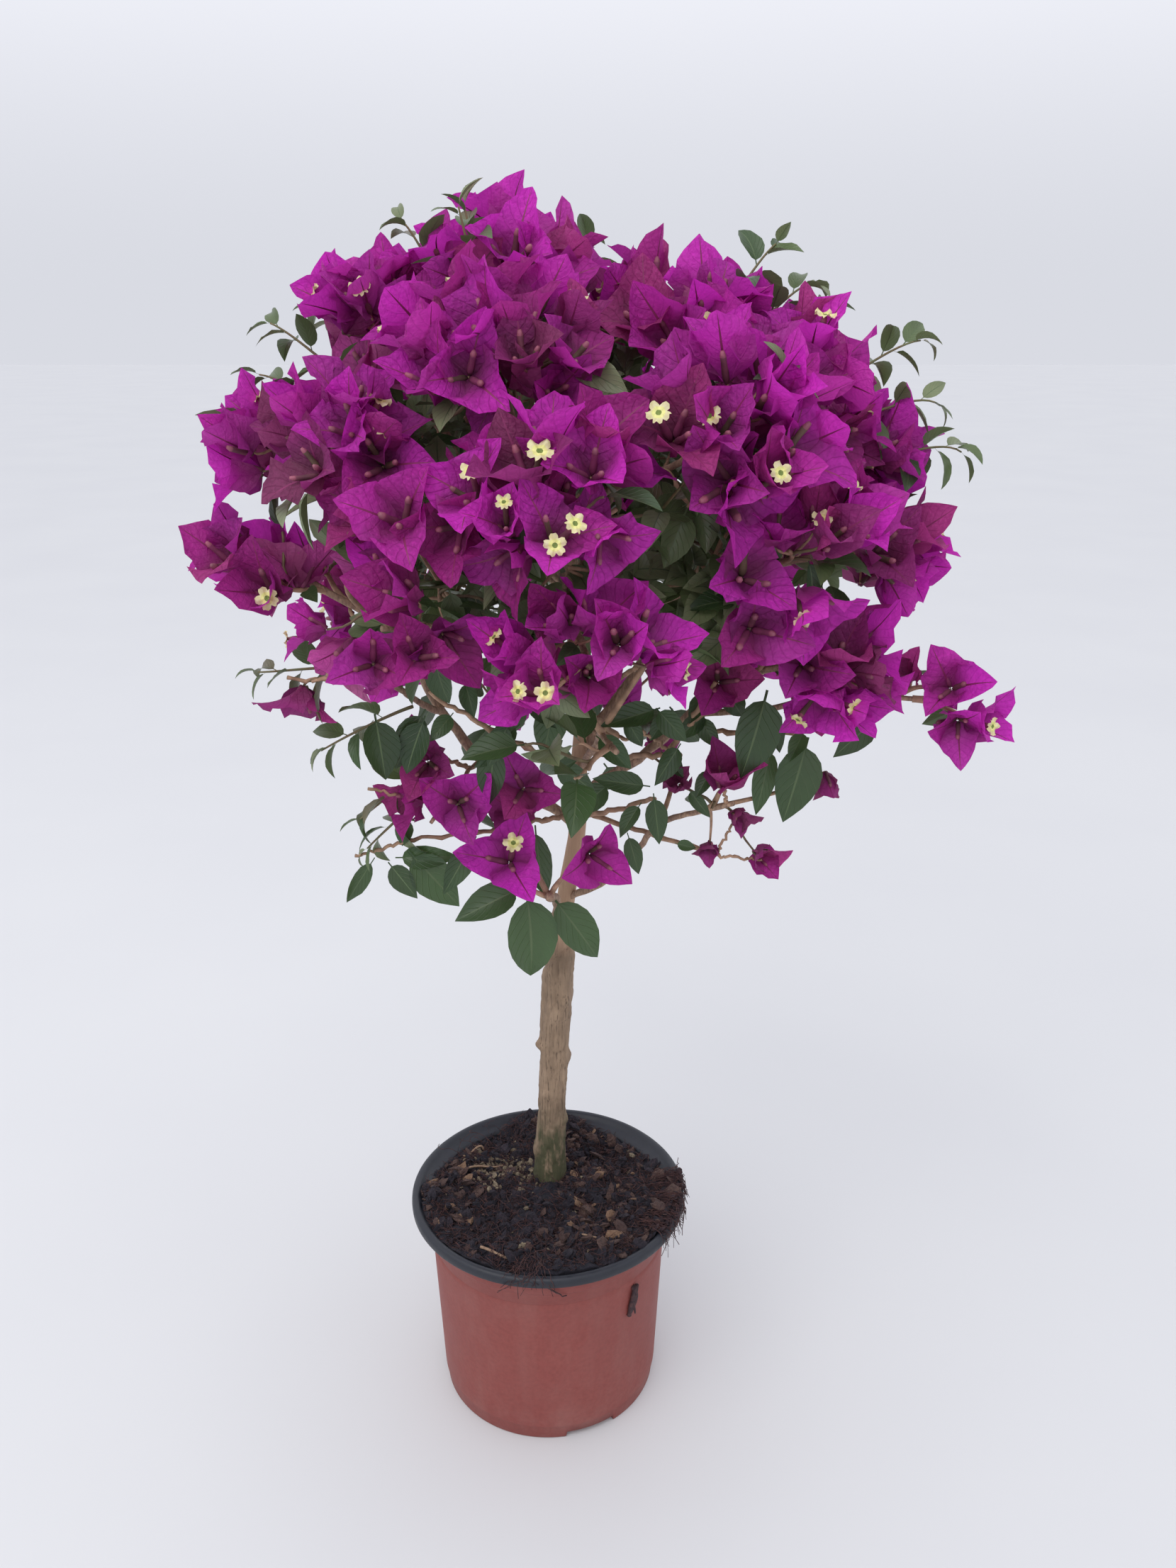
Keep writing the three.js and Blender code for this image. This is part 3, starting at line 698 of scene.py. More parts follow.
def compostFibres():
    # thin fibres: each a path that wanders from its first direction
    look, rng = fibreLook, np.random.default_rng(seeds["fibres"])
    brown = twoShades("fibreBrown", (42, 28, 34), (84, 54, 50), 0.9, 300.0)
    spots = scatterOnCompost(look["count"], rng, 0.5)
    count, steps = len(spots), look["steps"]
    heading = rng.uniform(0, 2 * np.pi, count)
    level = polar(1, heading, rng.uniform(*look["rise"], count))
    length = rng.uniform(*look["length"], count) * mm
    radius = rng.uniform(*look["radius"], count) * mm
    wander = rng.normal(0, look["wander"], (count, steps - 1, 3)).cumsum(1) * look["keepsOn"]
    walk = np.cumsum(unit(level[:, None] + wander) * (length / (steps - 1))[:, None, None], 1)
    paths = np.concatenate([spots[:, None], spots[:, None] + walk], 1)
    points = tubePoints(paths, radius[:, None] * np.linspace(1, look["thinEnd"], steps), look["sides"])
    # they lie on the surface, inside the rim, and lift off it by a few millimetres at most
    edge = compostEdge(np.arctan2(points[..., 1], points[..., 0]))[..., None] * mm
    points[..., :2] *= np.minimum(1, edge / norm(points[..., :2], axis=-1, keepdims=True))
    ground = compostHeightAt(points[..., 0], points[..., 1])
    lowest, highest = look["lift"]
    points[..., 2] = ground + np.clip(points[..., 2] - ground, lowest * mm, highest * mm)
    makePiece("compostFibres", points, tubeFaces(points), (), [brown])
    rimStrands(rng, brown)


def rimStrands(rng, brown):
    # a felt of strands over the rim, with crumbs of compost among them
    look = strandLook
    over, front, behind = (look[k] for k in ("over", "front", "behind"))
    bearing = np.radians(np.concatenate([
        rng.uniform(*look["overBearings"], over), rng.normal(*look["frontBearing"], front),
        rng.normal(*look["behindBearing"], behind)]))
    count, out = len(bearing), polar(1, bearing, 0.0)
    along = np.cross(upward, out)
    hangs = (np.arange(count) < over + front)[:, None]

    def station(near, far, stray=0.0):
        place = out * (rng.uniform(near, far, count) * mm)[:, None]
        return place + along * (rng.normal(0, stray, count) * mm)[:, None] if stray else place

    starts = onCompost(*station(*look["footReach"])[:, :2].T, 0.6)
    crest = station(*look["crestReach"])
    crest[:, 2] = (look["crestHeight"] + rng.uniform(0, look["crestRise"], count)) * mm
    ends = station(*look["endReach"])
    ends[:, 2] = (look["endHeight"] - lumpSizes(rng, count, *look["drop"])) * mm
    curlEnds = station(*look["curlReach"])
    curlEnds[:, 2] = rng.uniform(*look["curlHeight"], count) * mm
    first = starts + (crest - starts) * 0.5 + upward * 4 * mm
    second = np.where(hangs, crest + out * 3 * mm + upward * 2 * mm, curlEnds + along * 9 * mm)
    paths = bezier(starts, first, second, np.where(hangs, ends, curlEnds), look["steps"])
    paths[:, 1:] += rng.normal(0, look["stray"] * mm, paths[:, 1:].shape)
    # a strand passes over the rim, not through it
    outward = norm(paths[..., :2], axis=-1, keepdims=True)
    inner, middle, outer = (radius * mm for radius in look["band"])
    inBand = (outward > inner) & (outward < outer) & (paths[..., 2:] < look["bandTop"] * mm)
    paths[..., :2] *= np.where(inBand & (outward > middle), look["outside"] * mm / outward, 1)
    paths[..., 2:] = np.where(inBand & (outward <= middle), look["above"] * mm, paths[..., 2:])
    radii = np.broadcast_to(rng.uniform(*look["radius"], (count, 1)) * mm, (count, look["steps"]))
    makeTubes("rimStrands", paths, radii, look["sides"], [brown])
    look, count = litterLook, litterLook["rimCrumbs"]
    angle = rng.uniform(*np.radians(look["crumbBearings"]), count)
    radius = rng.uniform(*look["crumbReach"], count) * mm
    spots = polar(radius, angle, rng.uniform(*look["crumbHeight"], count) * mm)
    makeLumps("rimCrumbs", spots, rng.uniform(*look["crumbSizes"], count), look["crumbFlat"], rng,
              [compostMaterial("heapDark", (40, 30, 37), (80, 56, 56))])


def compostSticks():
    # four short sticks: both ends in mm, how they bend, and their radius
    sticks = np.array([[-38, -58, -20, -66, 0, 0.6, 0.8, 0.9], [20, -46, 30, -50, -1, 1, 1, 0.6],
                       [-58, 16, -30, 28, 4, 5, 4, 0.7], [-44, 44, -56, 34, 3, 4, 9, 0.8]])
    start, end = (onCompost(*sticks[:, k:k + 2].T * mm, lift) for k, lift in ((0, 1.6), (2, 1.4)))
    bend = sticks[:, 4:7] * mm
    paths = bezier(start, start + (end - start) / 3 + bend, end - (end - start) / 3 - bend * 0.3, end, 14)
    pale = twoShades("stickPale", (158, 132, 108), (122, 96, 78), 0.8, 400.0)
    makeTubes("compostSticks", paths, sticks[:, 7:] * np.linspace(1, 0.75, 14) * mm, 7, [pale])


def potScraps():
    # a dried twig stuck to the wall at the upper right and a wisp of fibre under the rim at the front
    rng = np.random.default_rng(seeds["scraps"])
    share = np.linspace(0, 1, 16)

    def onWall(bearing, height, off):
        radius = 67.9 + (73 - 67.9) * height / 115 + np.where(height > 116, 1.9, 0) + off
        return polar(radius, np.radians(bearing), height) * mm

    twig = [onWall(-44.5 + 1.6 * np.sin(share * 4 + k * 1.7) + k * 0.5 - share * 1.2, 102.5 - 21 * share,
                   0.9 + 0.5 * k) for k in range(3)]
    wisp = [onWall(-96 + share * (6 + 3 * k) + rng.normal(0, 0.3, 16), 128.3 - (4 + 3 * k) * share ** 1.5,
                   0.7 + 0.3 * k) for k in range(4)]
    twigRadii = np.array([[1.9], [1.3], [1.0]]) * (0.55 + 0.6 * np.sin(share * 2.6 + 0.5))
    radii = np.concatenate([twigRadii, np.full((4, 16), 0.35)]) * mm
    dark = twoShades("scrapDark", (44, 30, 36), (78, 52, 52), 0.85, 500.0)
    makeTubes("potScraps", np.array(twig + wisp), radii, 6, [dark])


print("pot, rim and compost")
potWall()
potRim()
compostTop()
compostLitter()
compostFibres()
compostSticks()
potScraps()


lines = limbLines()
trunkLook = {
    "foot": 0.1262, "split": 0.305, "lowRows": 230, "highRows": 80, "cols": 72,
    "fissure": 0.75, "broad": 0.6, "fine": 0.16, "seam": 0.9, "boughSteps": 34, "boughSides": 14,
    # height, bearing from the right in degrees, height of the bump and its half size; the rest in mm
    "warts": [[228, 188, 3.0, 4.2], [218, 12, 2.4, 5.0], [247, 140, 1.6, 3.4], [196, 250, 1.4, 4.0],
              [176, 330, 2.0, 6.0], [262, 300, 1.8, 4.0], [240, 80, 2.2, 4.5], [151, 200, 1.8, 7.0]],
}


def trunkBark():
    look = trunkLook
    line, radii, _ = lines["trunk"]
    heights = np.concatenate([np.linspace(look["foot"], look["split"], look["lowRows"], endpoint=False),
                              np.linspace(look["split"], line[-1, 2], look["highRows"])])
    order = np.argsort(line[:, 2])
    smooth = np.convolve(np.pad(radii, 2, mode="edge"), np.ones(5) / 5, mode="valid")
    axisX, axisY, width = (np.interp(heights, line[order, 2], a[order])[:, None]
                           for a in (line[:, 0], line[:, 1], smooth))
    turn = allRound(look["cols"])
    z, theta = np.meshgrid(heights / mm, turn, indexing="ij")

    def grain(around, rise, seed, start=0):
        return latticeNoise(theta / (2 * np.pi) * around, z / rise + start, seed, wrap=around)

    furrow = np.clip(1 - np.abs(grain(13, 24, 12, 40)) * 3.2, 0, 1)
    second = np.clip(1 - np.abs(grain(21, 11, 13, 10)) * 4.0, 0, 1)
    broad, plates, fine = grain(5, 17, 14), grain(9, 6, 15), grain(36, 2.2, 16)
    relief = (-look["fissure"] * furrow - look["fissure"] * 0.5 * second + look["broad"] * broad + 0.3 * plates
              + look["fine"] * fine) * (1 - smoothStep(z, 280, 300) * 0.8)
    for height, bearing, rise, size in look["warts"]:
        off = (theta - np.radians(bearing) + np.pi) % (2 * np.pi) - np.pi
        gap = np.hypot((z - height), off * 9.5) / size
        relief = relief + rise * np.exp(-gap ** 2 * 1.6) * (1 + 0.25 * plates)
    # a slanting seam above the swelling, where the leader begins
    slant = 9 * np.cos(theta + 0.7)
    relief = relief - look["seam"] * np.exp(-((z - 289 - slant) / 1.6) ** 2)
    relief = relief + 0.7 * np.exp(-((z - 283 - slant) / 4) ** 2)
    # buttresses where the stem meets the compost
    toes = np.maximum(0, np.cos(theta * 4 + 0.8)) * 0.8 + np.maximum(0, np.cos(theta * 3 - 1.1)) * 0.5
    relief = relief + toes * np.exp(-(z - look["foot"] / mm) / 9)
    radius = width + relief * mm
    points = np.stack([axisX + radius * np.cos(theta), axisY + radius * np.sin(theta), z * mm], -1)
    makePiece("trunkBark", points, tubeFaces(points[None]), ["trunk"], [barkMaterial()])


def smoothPath(path, width, steps):
    # evenly spaced points along the path after its corners are rounded twice
    both = np.column_stack([path, width])
    for _ in range(2):
        cut = np.stack([both[:-1] * 0.75 + both[1:] * 0.25, both[:-1] * 0.25 + both[1:] * 0.75], 1)
        both = np.concatenate([both[:1], cut.reshape(-1, 4), both[-1:]])
    run = np.concatenate([[0], np.cumsum(norm(np.diff(both[:, :3], axis=0), axis=1))])
    both = np.stack([np.interp(np.linspace(0, run[-1], steps), run, both[:, k]) for k in range(4)], -1)
    return both[:, :3], both[:, 3]


def boughBark():
    rng = np.random.default_rng(seeds["boughs"])
    steps, sides = trunkLook["boughSteps"], trunkLook["boughSides"]
    fade = np.sin(np.linspace(0, np.pi, steps))[:, None]
    step, side = np.meshgrid(np.arange(steps), np.arange(sides), indexing="ij")
    tubes = []
    for k, name in enumerate(limbNames):
        path, width = smoothPath(*lines[name][:2], steps)
        wobble = np.stack([np.convolve(rng.normal(0, 2.4, steps + 8), np.ones(9) / 9, mode="valid")
                           for _ in range(3)], -1) * mm
        path = path + wobble * fade
        lines[name] = (path, width, lines[name][2])
        grain = latticeNoise(side / 2, step / 2.2, 30 + k, wrap=sides // 2) * 0.5
        node = np.exp(-((step % 9) - 4.0) ** 2 / 1.2) * 0.45
        ring = tubePoints(path[None], width[None], sides)[0] - path[:, None]
        tubes.append(path[:, None] + ring * (1 + (grain + node)[..., None] * 0.22))
    points = np.array(tubes)
    makePiece("boughBark", points, tubeFaces(points), limbNames, [boughMaterial()])


print("trunk and boughs")
trunkBark()
boughBark()


# how much of each mass's surface blooms, and how many of its spots for leaf shoots are used
bloomShare = {
    "mass_leaf_band": 0.0, "mass_bottom": 0.0, "mass_bottom_left": 0.0, "mass_bottom_right": 0.0,
    "mass_low_left": 0.3, "mass_low_right": 0.8, "mass_trailing": 0.0, "mass_back_left": 0.8,
    "mass_back_right": 0.8, "mass_right_low": 0.9, "mass_left_low": 0.9,
}
leafShare = {
    "mass_bottom": 0.0, "mass_bottom_right": 0.12, "mass_trailing": 0.0, "mass_bottom_left": 0.25,
    "mass_leaf_band": 0.9, "mass_low_left": 0.45, "mass_top_left": 0.4, "mass_top_right": 0.4,
    "mass_front_top": 0.45,
}
crownLook = {
    "outerGap": 22.5, "innerGap": 28.0, "innerDepth": 24.0, "leafGap": 18.0, "leafDepth": [19, 48],
    "trioRise": 20.5, "loneRise": 10, "spots": 1500, "fillers": 560, "fillReach": [66, 136],
    "outerOpen": 0.36, "secondOpen": 0.28,
    # how the tints are shared out among the outer trios, and which tints the inner ones take: dull ones, and
    # the two palest as painted light over the crown's shade
    "brightShares": [0.17, 0.4, 0.62, 0.78, 0.9, 0.96, 0.99], "dullAndPaintedLightTints": [3, 6, 8, 9],
    "dullAndPaintedLightShares": [0.25, 0.35, 0.75],
}
sightFrom = np.array([25, -685, 657]) * mm

# places kept open at the crown's edge: middle, half length and radius, in mm, of bars that run along the
# line of sight
openBars = [
    [-42, 0, 702, 60, 13], [-10, 0, 717, 60, 15], [11, 0, 707, 60, 14], [25, 0, 701, 60, 13],
    [78, 0, 684, 60, 14], [100, 0, 686, 60, 12], [-118, 0, 652, 60, 13], [-116, 0, 632, 60, 13],
    [-146, 0, 567, 130, 17], [-164, 0, 496, 60, 17], [-101, -20, 502, 150, 16], [-136, 0, 461, 150, 20],
    [-114, 0, 442, 130, 21], [160, 0, 640, 60, 15], [220, 0, 536, 60, 13], [123, -20, 515, 150, 14],
    [147, -20, 516, 150, 14], [170, -20, 516, 150, 13], [19, -158, 492, 30, 14], [31, -150, 480, 30, 15],
    [50, -158, 492, 30, 14], [5, -146, 484, 30, 14],
]

# the same inside the outline, where the leaves show between the bracts: no trio stands there
leafyBars = [
    [54, -115, 579, 40, 13], [53, -115, 564, 40, 15], [54, -118, 550, 40, 15], [-41, -130, 539, 45, 17],
    [-56, -125, 527, 45, 15], [-103, -75, 546, 40, 13], [-112, -70, 521, 40, 13], [-113, -70, 499, 40, 12],
    [-10, -125, 624, 30, 10], [-63, -105, 625, 30, 10], [-91, -80, 625, 30, 9], [-6, -138, 484, 40, 12],
    [-27, -135, 480, 40, 13], [-50, -125, 479, 40, 13], [161, -70, 478, 40, 11], [86, -112, 576, 30, 9],
    [119, -105, 613, 30, 9], [63, -130, 490, 40, 12],
]

# bract trios placed one by one: place in mm, facing, size, spread 0..1, tint, open flowers
loneTrios = [
    [-60, -48, 434, -0.2, -0.9, 0.3, 0.85, 0.7, 5, 0], [-68, -44, 410, -0.7, -0.7, 0.0, 0.85, 0.5, 4, 0],
    [-43, -54, 412, 0.0, -0.95, 0.25, 1.0, 0.8, 2, 0], [-8, -50, 420, 0.1, -0.9, 0.35, 0.95, 0.75, 4, 0],
    [-16, -32, 399, -0.2, -0.9, 0.1, 0.85, 0.5, 7, 0], [-18, -52, 381, -0.1, -0.8, 0.5, 1.15, 0.95, 1, 1],
    [30, -46, 379, 0.45, -0.85, 0.1, 1.0, 0.7, 2, 0], [94, -62, 432, 0.05, -0.6, 0.8, 1.0, 0.35, 5, 0],
    [71, -50, 424, -0.2, -0.7, 0.5, 0.6, 0.2, 7, 0], [104, -46, 403, 0.5, -0.7, -0.2, 0.55, 0.3, 7, 0],
    [89, -42, 383, -0.2, -0.8, -0.3, 0.45, 0.4, 7, 0], [118, -41, 378, 0.5, -0.75, -0.1, 0.65, 0.4, 5, 0],
    [149, -44, 421, 0.1, -0.4, -0.9, 0.6, 0.2, 7, 0], [203, -60, 479, -0.35, -0.75, 0.45, 1.0, 0.6, 2, 0],
    [184, -52, 482, -0.5, -0.6, 0.6, 0.7, 0.35, 5, 0], [209, -60, 456, -0.3, -0.9, -0.2, 0.9, 0.45, 2, 0],
    [222, -58, 459, 0.75, -0.6, 0.1, 0.95, 0.45, 1, 1], [-119, -50, 466, -0.1, -0.35, -0.95, 0.9, 0.9, 5, 0],
    [90, -60, 481, 0.0, -0.8, 0.35, 0.95, 0.6, 5, 0], [-72, -14, 666, -0.35, -0.5, 0.8, 0.95, 0.4, 2, 0],
    [95, -120, 546, 0.2, -0.85, 0.4, 1.1, 0.75, 1, 0], [99, -116, 520, 0.1, -0.9, 0.2, 1.05, 0.6, 3, 0],
    [62, -128, 608, 0.1, -0.8, 0.6, 1.1, 0.8, 5, 1], [-54, -138, 573, -0.1, -0.85, 0.45, 1.1, 0.7, 2, 0],
    [42, 46, 436, 0.3, 0.85, 0.2, 0.95, 0.6, 3, 0], [-20, 54, 428, -0.2, 0.9, 0.1, 0.9, 0.5, 2, 0],
    [66, 30, 418, 0.6, 0.7, 0.1, 0.8, 0.4, 5, 0],
]

# big leaves that hang clear below the crown: foot and tip in mm, share of width to length
loneLeaves = [
    [-82, -55, 462, -77, -62, 429, 0.36], [-57, -50, 463, -74, -60, 434, 0.3],
    [-71, -42, 382, -43, -50, 353, 0.34], [-81, -46, 377, -66, -54, 360, 0.33],
    [-78, -40, 377, -46, -46, 380, 0.25], [-89, -40, 377, -107, -44, 350, 0.19],
    [-70, -42, 402, -74, -46, 385, 0.36], [-34, -44, 391, -51, -52, 361, 0.24],
    [-10, -36, 358, -46, -46, 343, 0.3], [-9, -30, 354, -3, -42, 301, 0.33],
    [5, -26, 348, 33, -36, 312, 0.29], [-4, -16, 386, 0, -22, 344, 0.25],
    [-22, -58, 449, -26, -62, 414, 0.27], [-9, -56, 457, -29, -66, 443, 0.3],
    [9, -60, 472, 3, -68, 444, 0.36], [-6, -66, 473, 9, -70, 459, 0.22], [8, -54, 437, 27, -62, 421, 0.33],
    [37, -46, 422, 16, -54, 407, 0.33], [61, -58, 466, 32, -66, 459, 0.27], [29, -52, 451, 47, -60, 435, 0.3],
    [57, -52, 422, 28, -60, 429, 0.25], [59, -46, 416, 63, -52, 390, 0.28],
    [53, -44, 410, 41, -50, 393, 0.28], [46, -34, 389, 53, -40, 366, 0.25],
    [77, -46, 419, 88, -52, 405, 0.25], [113, -64, 477, 102, -74, 435, 0.34],
    [137, -50, 448, 126, -60, 406, 0.33], [119, -48, 444, 112, -54, 407, 0.2],
    [172, -50, 459, 150, -58, 441, 0.3], [167, -58, 486, 160, -66, 458, 0.33],
    [68, -46, 462, 56, -52, 447, 0.3], [72, -54, 446, 59, -62, 427, 0.3], [86, -46, 460, 70, -50, 447, 0.3],
    [7, -62, 434, 19, -66, 441, 0.28], [71, -44, 387, 82, -46, 385, 0.35],
    [-57, -52, 460, -68, -58, 431, 0.33], [-14, -60, 459, -25, -66, 438, 0.32],
    [29, -60, 452, 45, -66, 439, 0.34], [59, -55, 465, 74, -62, 450, 0.34],
    [62, -50, 441, 74, -56, 429, 0.32], [81, -45, 458, 91, -52, 443, 0.33],
    [86, -45, 471, 76, -52, 457, 0.34], [118, -50, 459, 123, -56, 442, 0.3],
    [135, -50, 452, 127, -56, 437, 0.32], [-43, -50, 461, -54, -58, 449, 0.34],
    [-36, -60, 481, -31, -66, 464, 0.33], [-20, -56, 442, -32, -62, 437, 0.3],
    [89, -50, 431, 80, -56, 418, 0.32], [43, -60, 462, 53, -66, 449, 0.34], [30, 44, 452, 18, 60, 420, 0.33],
    [-14, 40, 446, -26, 54, 414, 0.32], [52, 30, 440, 70, 46, 412, 0.33], [-30, 30, 430, -48, 44, 404, 0.3],
    [10, 30, 420, 2, 48, 388, 0.33], [34, 24, 408, 50, 40, 380, 0.3], [70, 10, 446, 90, 18, 420, 0.32],
    [-56, 14, 452, -76, 20, 428, 0.32],
]

# bare twigs below the crown: both ends in mm, radius in mm, and how far they sag
lowTwigs = [
    [20, -2, 384, 93, -42, 380, 1.5, 1.5], [93, -42, 380, 118, -40, 376, 0.8, 0.5],
    [20, 2, 384, -10, -16, 388, 1.6, 1.0], [-10, -16, 388, -71, -40, 387, 1.2, 1.5],
    [20, 2, 386, 60, -44, 412, 1.6, 2.0], [-20, -24, 440, -59, -44, 440, 1.1, 0.5],
    [18, 6, 432, 46, -40, 444, 1.1, 1.0], [12, 8, 408, -7, -50, 444, 1.5, 2.0],
    [73, -40, 435, 135, -50, 452, 1.4, 2.5], [24, 8, 421, 73, -40, 435, 1.8, 2.0],
    [135, -50, 452, 156, -52, 459, 1.0, 0.5], [-84, -40, 466, -125, -52, 480, 1.1, 1.0],
    [-64, -38, 419, -90, -42, 417, 1.1, 0.4], [-71, -40, 387, -99, -42, 379, 1.0, 0.6],
    [67, -44, 429, 52, -50, 452, 1.0, 0.5], [24, -4, 448, 51, -30, 480, 1.6, 1.0],
    [97, -50, 410, 93, -58, 428, 0.8, 0.3], [93, -42, 380, 103, -44, 402, 0.8, 0.4],
    [60, -30, 440, 88, -60, 480, 1.5, 2.0], [70, -44, 458, 118, -60, 496, 1.3, 2.0],
    [30, -30, 452, 8, -80, 492, 1.4, 2.0], [-24, -30, 446, -52, -70, 478, 1.4, 2.0],
]

# young leafy shoots: foot and tip in mm, how far the tip arches over, leaves
youngShoots = [
    [-92, -12, 602, -138, -4, 622, 5, 7], [-98, -6, 622, -131, -2, 646, 4, 7],
    [-44, -4, 662, -64, -2, 692, 5, 6], [-30, -6, 668, -34, -2, 699, 2, 6],
    [-28, -46, 664, -33, -44, 696, 2, 6], [88, -10, 650, 115, -6, 682, 4, 8],
    [100, -10, 644, 132, -6, 664, 4, 7], [140, -4, 612, 189, -2, 638, 7, 9],
    [160, -12, 606, 198, -16, 608, 10, 7], [172, -12, 584, 210, -18, 586, 9, 8],
    [100, -98, 598, 109, -106, 628, 2, 8], [-104, -44, 474, -142, -42, 480, 2, 7],
    [-78, -44, 450, -113, -42, 438, 3, 7], [-66, -40, 414, -95, -42, 400, 3, 6],
    [56, -100, 560, 66, -118, 584, 3, 6], [-70, -40, 396, -92, -44, 384, 3, 6],
    [128, 70, 634, 160, 92, 654, 4, 7], [-100, 84, 632, -128, 98, 652, 4, 7],
    [20, 120, 672, 26, 140, 692, 3, 6], [70, 160, 500, 92, 182, 496, 4, 6],
]


def clearOfBars(points, bars):
    rows = np.array(bars) * mm
    axis = unit(rows[:, :3] - sightFrom)
    offset = points[:, None] - rows[None, :, :3]
    along = (offset * axis).sum(-1).clip(-rows[:, 3], rows[:, 3])
    return (norm(offset - along[..., None] * axis, axis=-1) > rows[:, 4]).all(1)


def massSurface(name, count, rng):
    # evenly scattered points on a mass with the outward directions there, eased towards round
    triangles = massTriangles[name]
    cross = np.cross(triangles[:, 1] - triangles[:, 0], triangles[:, 2] - triangles[:, 0])
    area = norm(cross, axis=1)
    pick = rng.choice(len(area), count, p=area / area.sum())
    a, b = np.sqrt(rng.uniform(0, 1, count))[:, None], rng.uniform(0, 1, count)[:, None]
    t = triangles[pick]
    points = t[:, 0] * (1 - a) + t[:, 1] * a * (1 - b) + t[:, 2] * a * b
    return points, unit(unit(cross[pick]) * 0.6 + unit(points - massMiddle[name]) * 0.6)


def thinOut(points, gap):
    # keeps points no nearer to one another than the gap
    chosen = []
    for i, p in enumerate(points):
        if not chosen or ((points[chosen] - p) ** 2).sum(1).min() >= gap * gap:
            chosen.append(i)
    return np.array(chosen, int)


def nearestMass(points):
    gaps = [norm(points[:, None] - massTriangles[n].reshape(-1, 3)[None, ::3], axis=2).min(1)
            for n in massNames]
    return np.array(gaps).argmin(0)


def crownSpots():
    # outer and inner trio spots and leaf spots over all masses, each with outward direction and mass number
    look = crownLook
    rng = np.random.default_rng(seeds["crown"])
    found = [massSurface(name, look["spots"], rng) for name in massNames]
    points, normals = (np.concatenate(a) for a in zip(*found))
    shuffle = rng.permutation(len(points))
    points, normals, owners = points[shuffle], normals[shuffle], shuffle // look["spots"]
    facing = (normals * unit(points - crownMiddle)).sum(1)
    # fewer trios face down, where the leaves show
    share = np.array([bloomShare.get(n, 1.0) for n in massNames])[owners]
    share = share * (1 - 0.75 * smoothStep(-normals[:, 2], 0.25, 0.75))
    outer = np.flatnonzero((facing > 0.16) & (rng.uniform(0, 1, len(points)) < share))
    outer = outer[thinOut(points[outer], look["outerGap"] * mm)]
    sunk = points - normals * look["innerDepth"] * mm
    inner = np.flatnonzero((facing > -0.1) & (rng.uniform(0, 1, len(points)) < share))
    inner = inner[thinOut(sunk[inner], look["innerGap"] * mm)]
    leafPoints = points - normals * (rng.uniform(*look["leafDepth"], len(points)) * mm)[:, None]
    leafy = np.flatnonzero(facing > -0.35)
    leafy = leafy[thinOut(leafPoints[leafy], look["leafGap"] * mm)]
    wanted = np.array([leafShare.get(n, 0.7) for n in massNames])[owners[leafy]]
    leafy = leafy[rng.uniform(0, 1, len(leafy)) < wanted]
    # more leaf shoots inside the crown, in the gaps between the masses
    fill = unit(rng.normal(0, 1, (look["fillers"], 3)) * [1, 1, 0.8])
    fill = fill[fill[:, 2] > -0.3]
    gapPoints = crownMiddle + fill * (rng.uniform(*look["fillReach"], (len(fill), 1)) * mm)
    leaf = zip((leafPoints[leafy], normals[leafy], owners[leafy]), (gapPoints, fill, nearestMass(gapPoints)))
    spots = {
        "outer": (points[outer], normals[outer], owners[outer]),
        "inner": (sunk[inner], normals[inner], owners[inner]),
        "leaf": tuple(np.concatenate(pair) for pair in leaf),
    }
    kept = {name: clearOfBars(rows[0], openBars if name == "leaf" else openBars + leafyBars)
            for name, rows in spots.items()}
    return {name: [column[kept[name]] for column in rows] for name, rows in spots.items()}


def blades(foot, axis, lean, length, width, bend, shape, rng, cupShare=1.0):
    # curved blades: the midline leaves its foot along axis and bends towards lean, from bend[0] to bend[1];
    # each row crosses it by the outline, cupped, folded, rippled at its edge and twisted
    s, t, count = np.array(shape["rows"]), np.array(shape["columns"]), len(foot)
    cup, fold, edge, waves = (rng.uniform(*shape[k], count) for k in ("cup", "fold", "ripple", "waves"))
    twist = rng.normal(0, shape["twist"], count)[:, None, None] * s[None, :, None]
    cup, fold, edge, waves = (a[:, None, None] for a in (cup * cupShare, fold, edge, waves))
    angle = bend[0][:, None] + (bend[1] - bend[0])[:, None] * s[None] ** bend[2]
    c, d = np.cos(angle)[..., None], np.sin(angle)[..., None]
    heading = c * axis[:, None] + d * lean[:, None]
    upper = d * axis[:, None] - c * lean[:, None]
    across = np.broadcast_to(np.cross(lean, axis)[:, None], heading.shape)
    c, d = np.cos(twist), np.sin(twist)
    across, upper = across * c + upper * d, upper * c - across * d
    step = np.diff(s, prepend=0)[None, :, None] * length[:, None, None]
    midline = foot[:, None] + np.cumsum(step * heading, axis=1)
    half = (shape["outline"](s)[None] * width[:, None])[..., None]
    sideways = np.sin(cup * t) / cup * half
    rise = (1 - np.cos(cup * t)) / cup * half + fold * np.abs(t) * half
    waves = 2 * np.pi * waves * s[:, None]
    phase = rng.uniform(0, 2 * np.pi, (count, 2, 1, 1))
    ripple = np.sin(waves + phase[:, 0] + 1.7 * np.sign(t))
    ripple = ripple + 0.6 * np.sin(2.3 * waves + phase[:, 1] + 2.6 * np.sign(t))
    rise = rise + edge * np.abs(t) ** 2.4 * half * ripple
    points = midline[:, :, None] + sideways[..., None] * across[:, :, None]
    points = points + rise[..., None] * upper[:, :, None]
    uv = np.broadcast_to(np.stack(np.meshgrid((t + 1) / 2, s), -1), points.shape[:3] + (2,))
    return points, uv


def bladeTones(tints, points, midrib):
    # one tint number per face, each blade in its own tint with the middle strip in the midrib's
    _, rows, cols = points.shape[:3]
    tones = np.repeat(np.asarray(tints), (rows - 1) * (cols - 1)).reshape(-1, rows - 1, cols - 1)
    tones[:, :, cols // 2 - 1] = midrib
    return tones


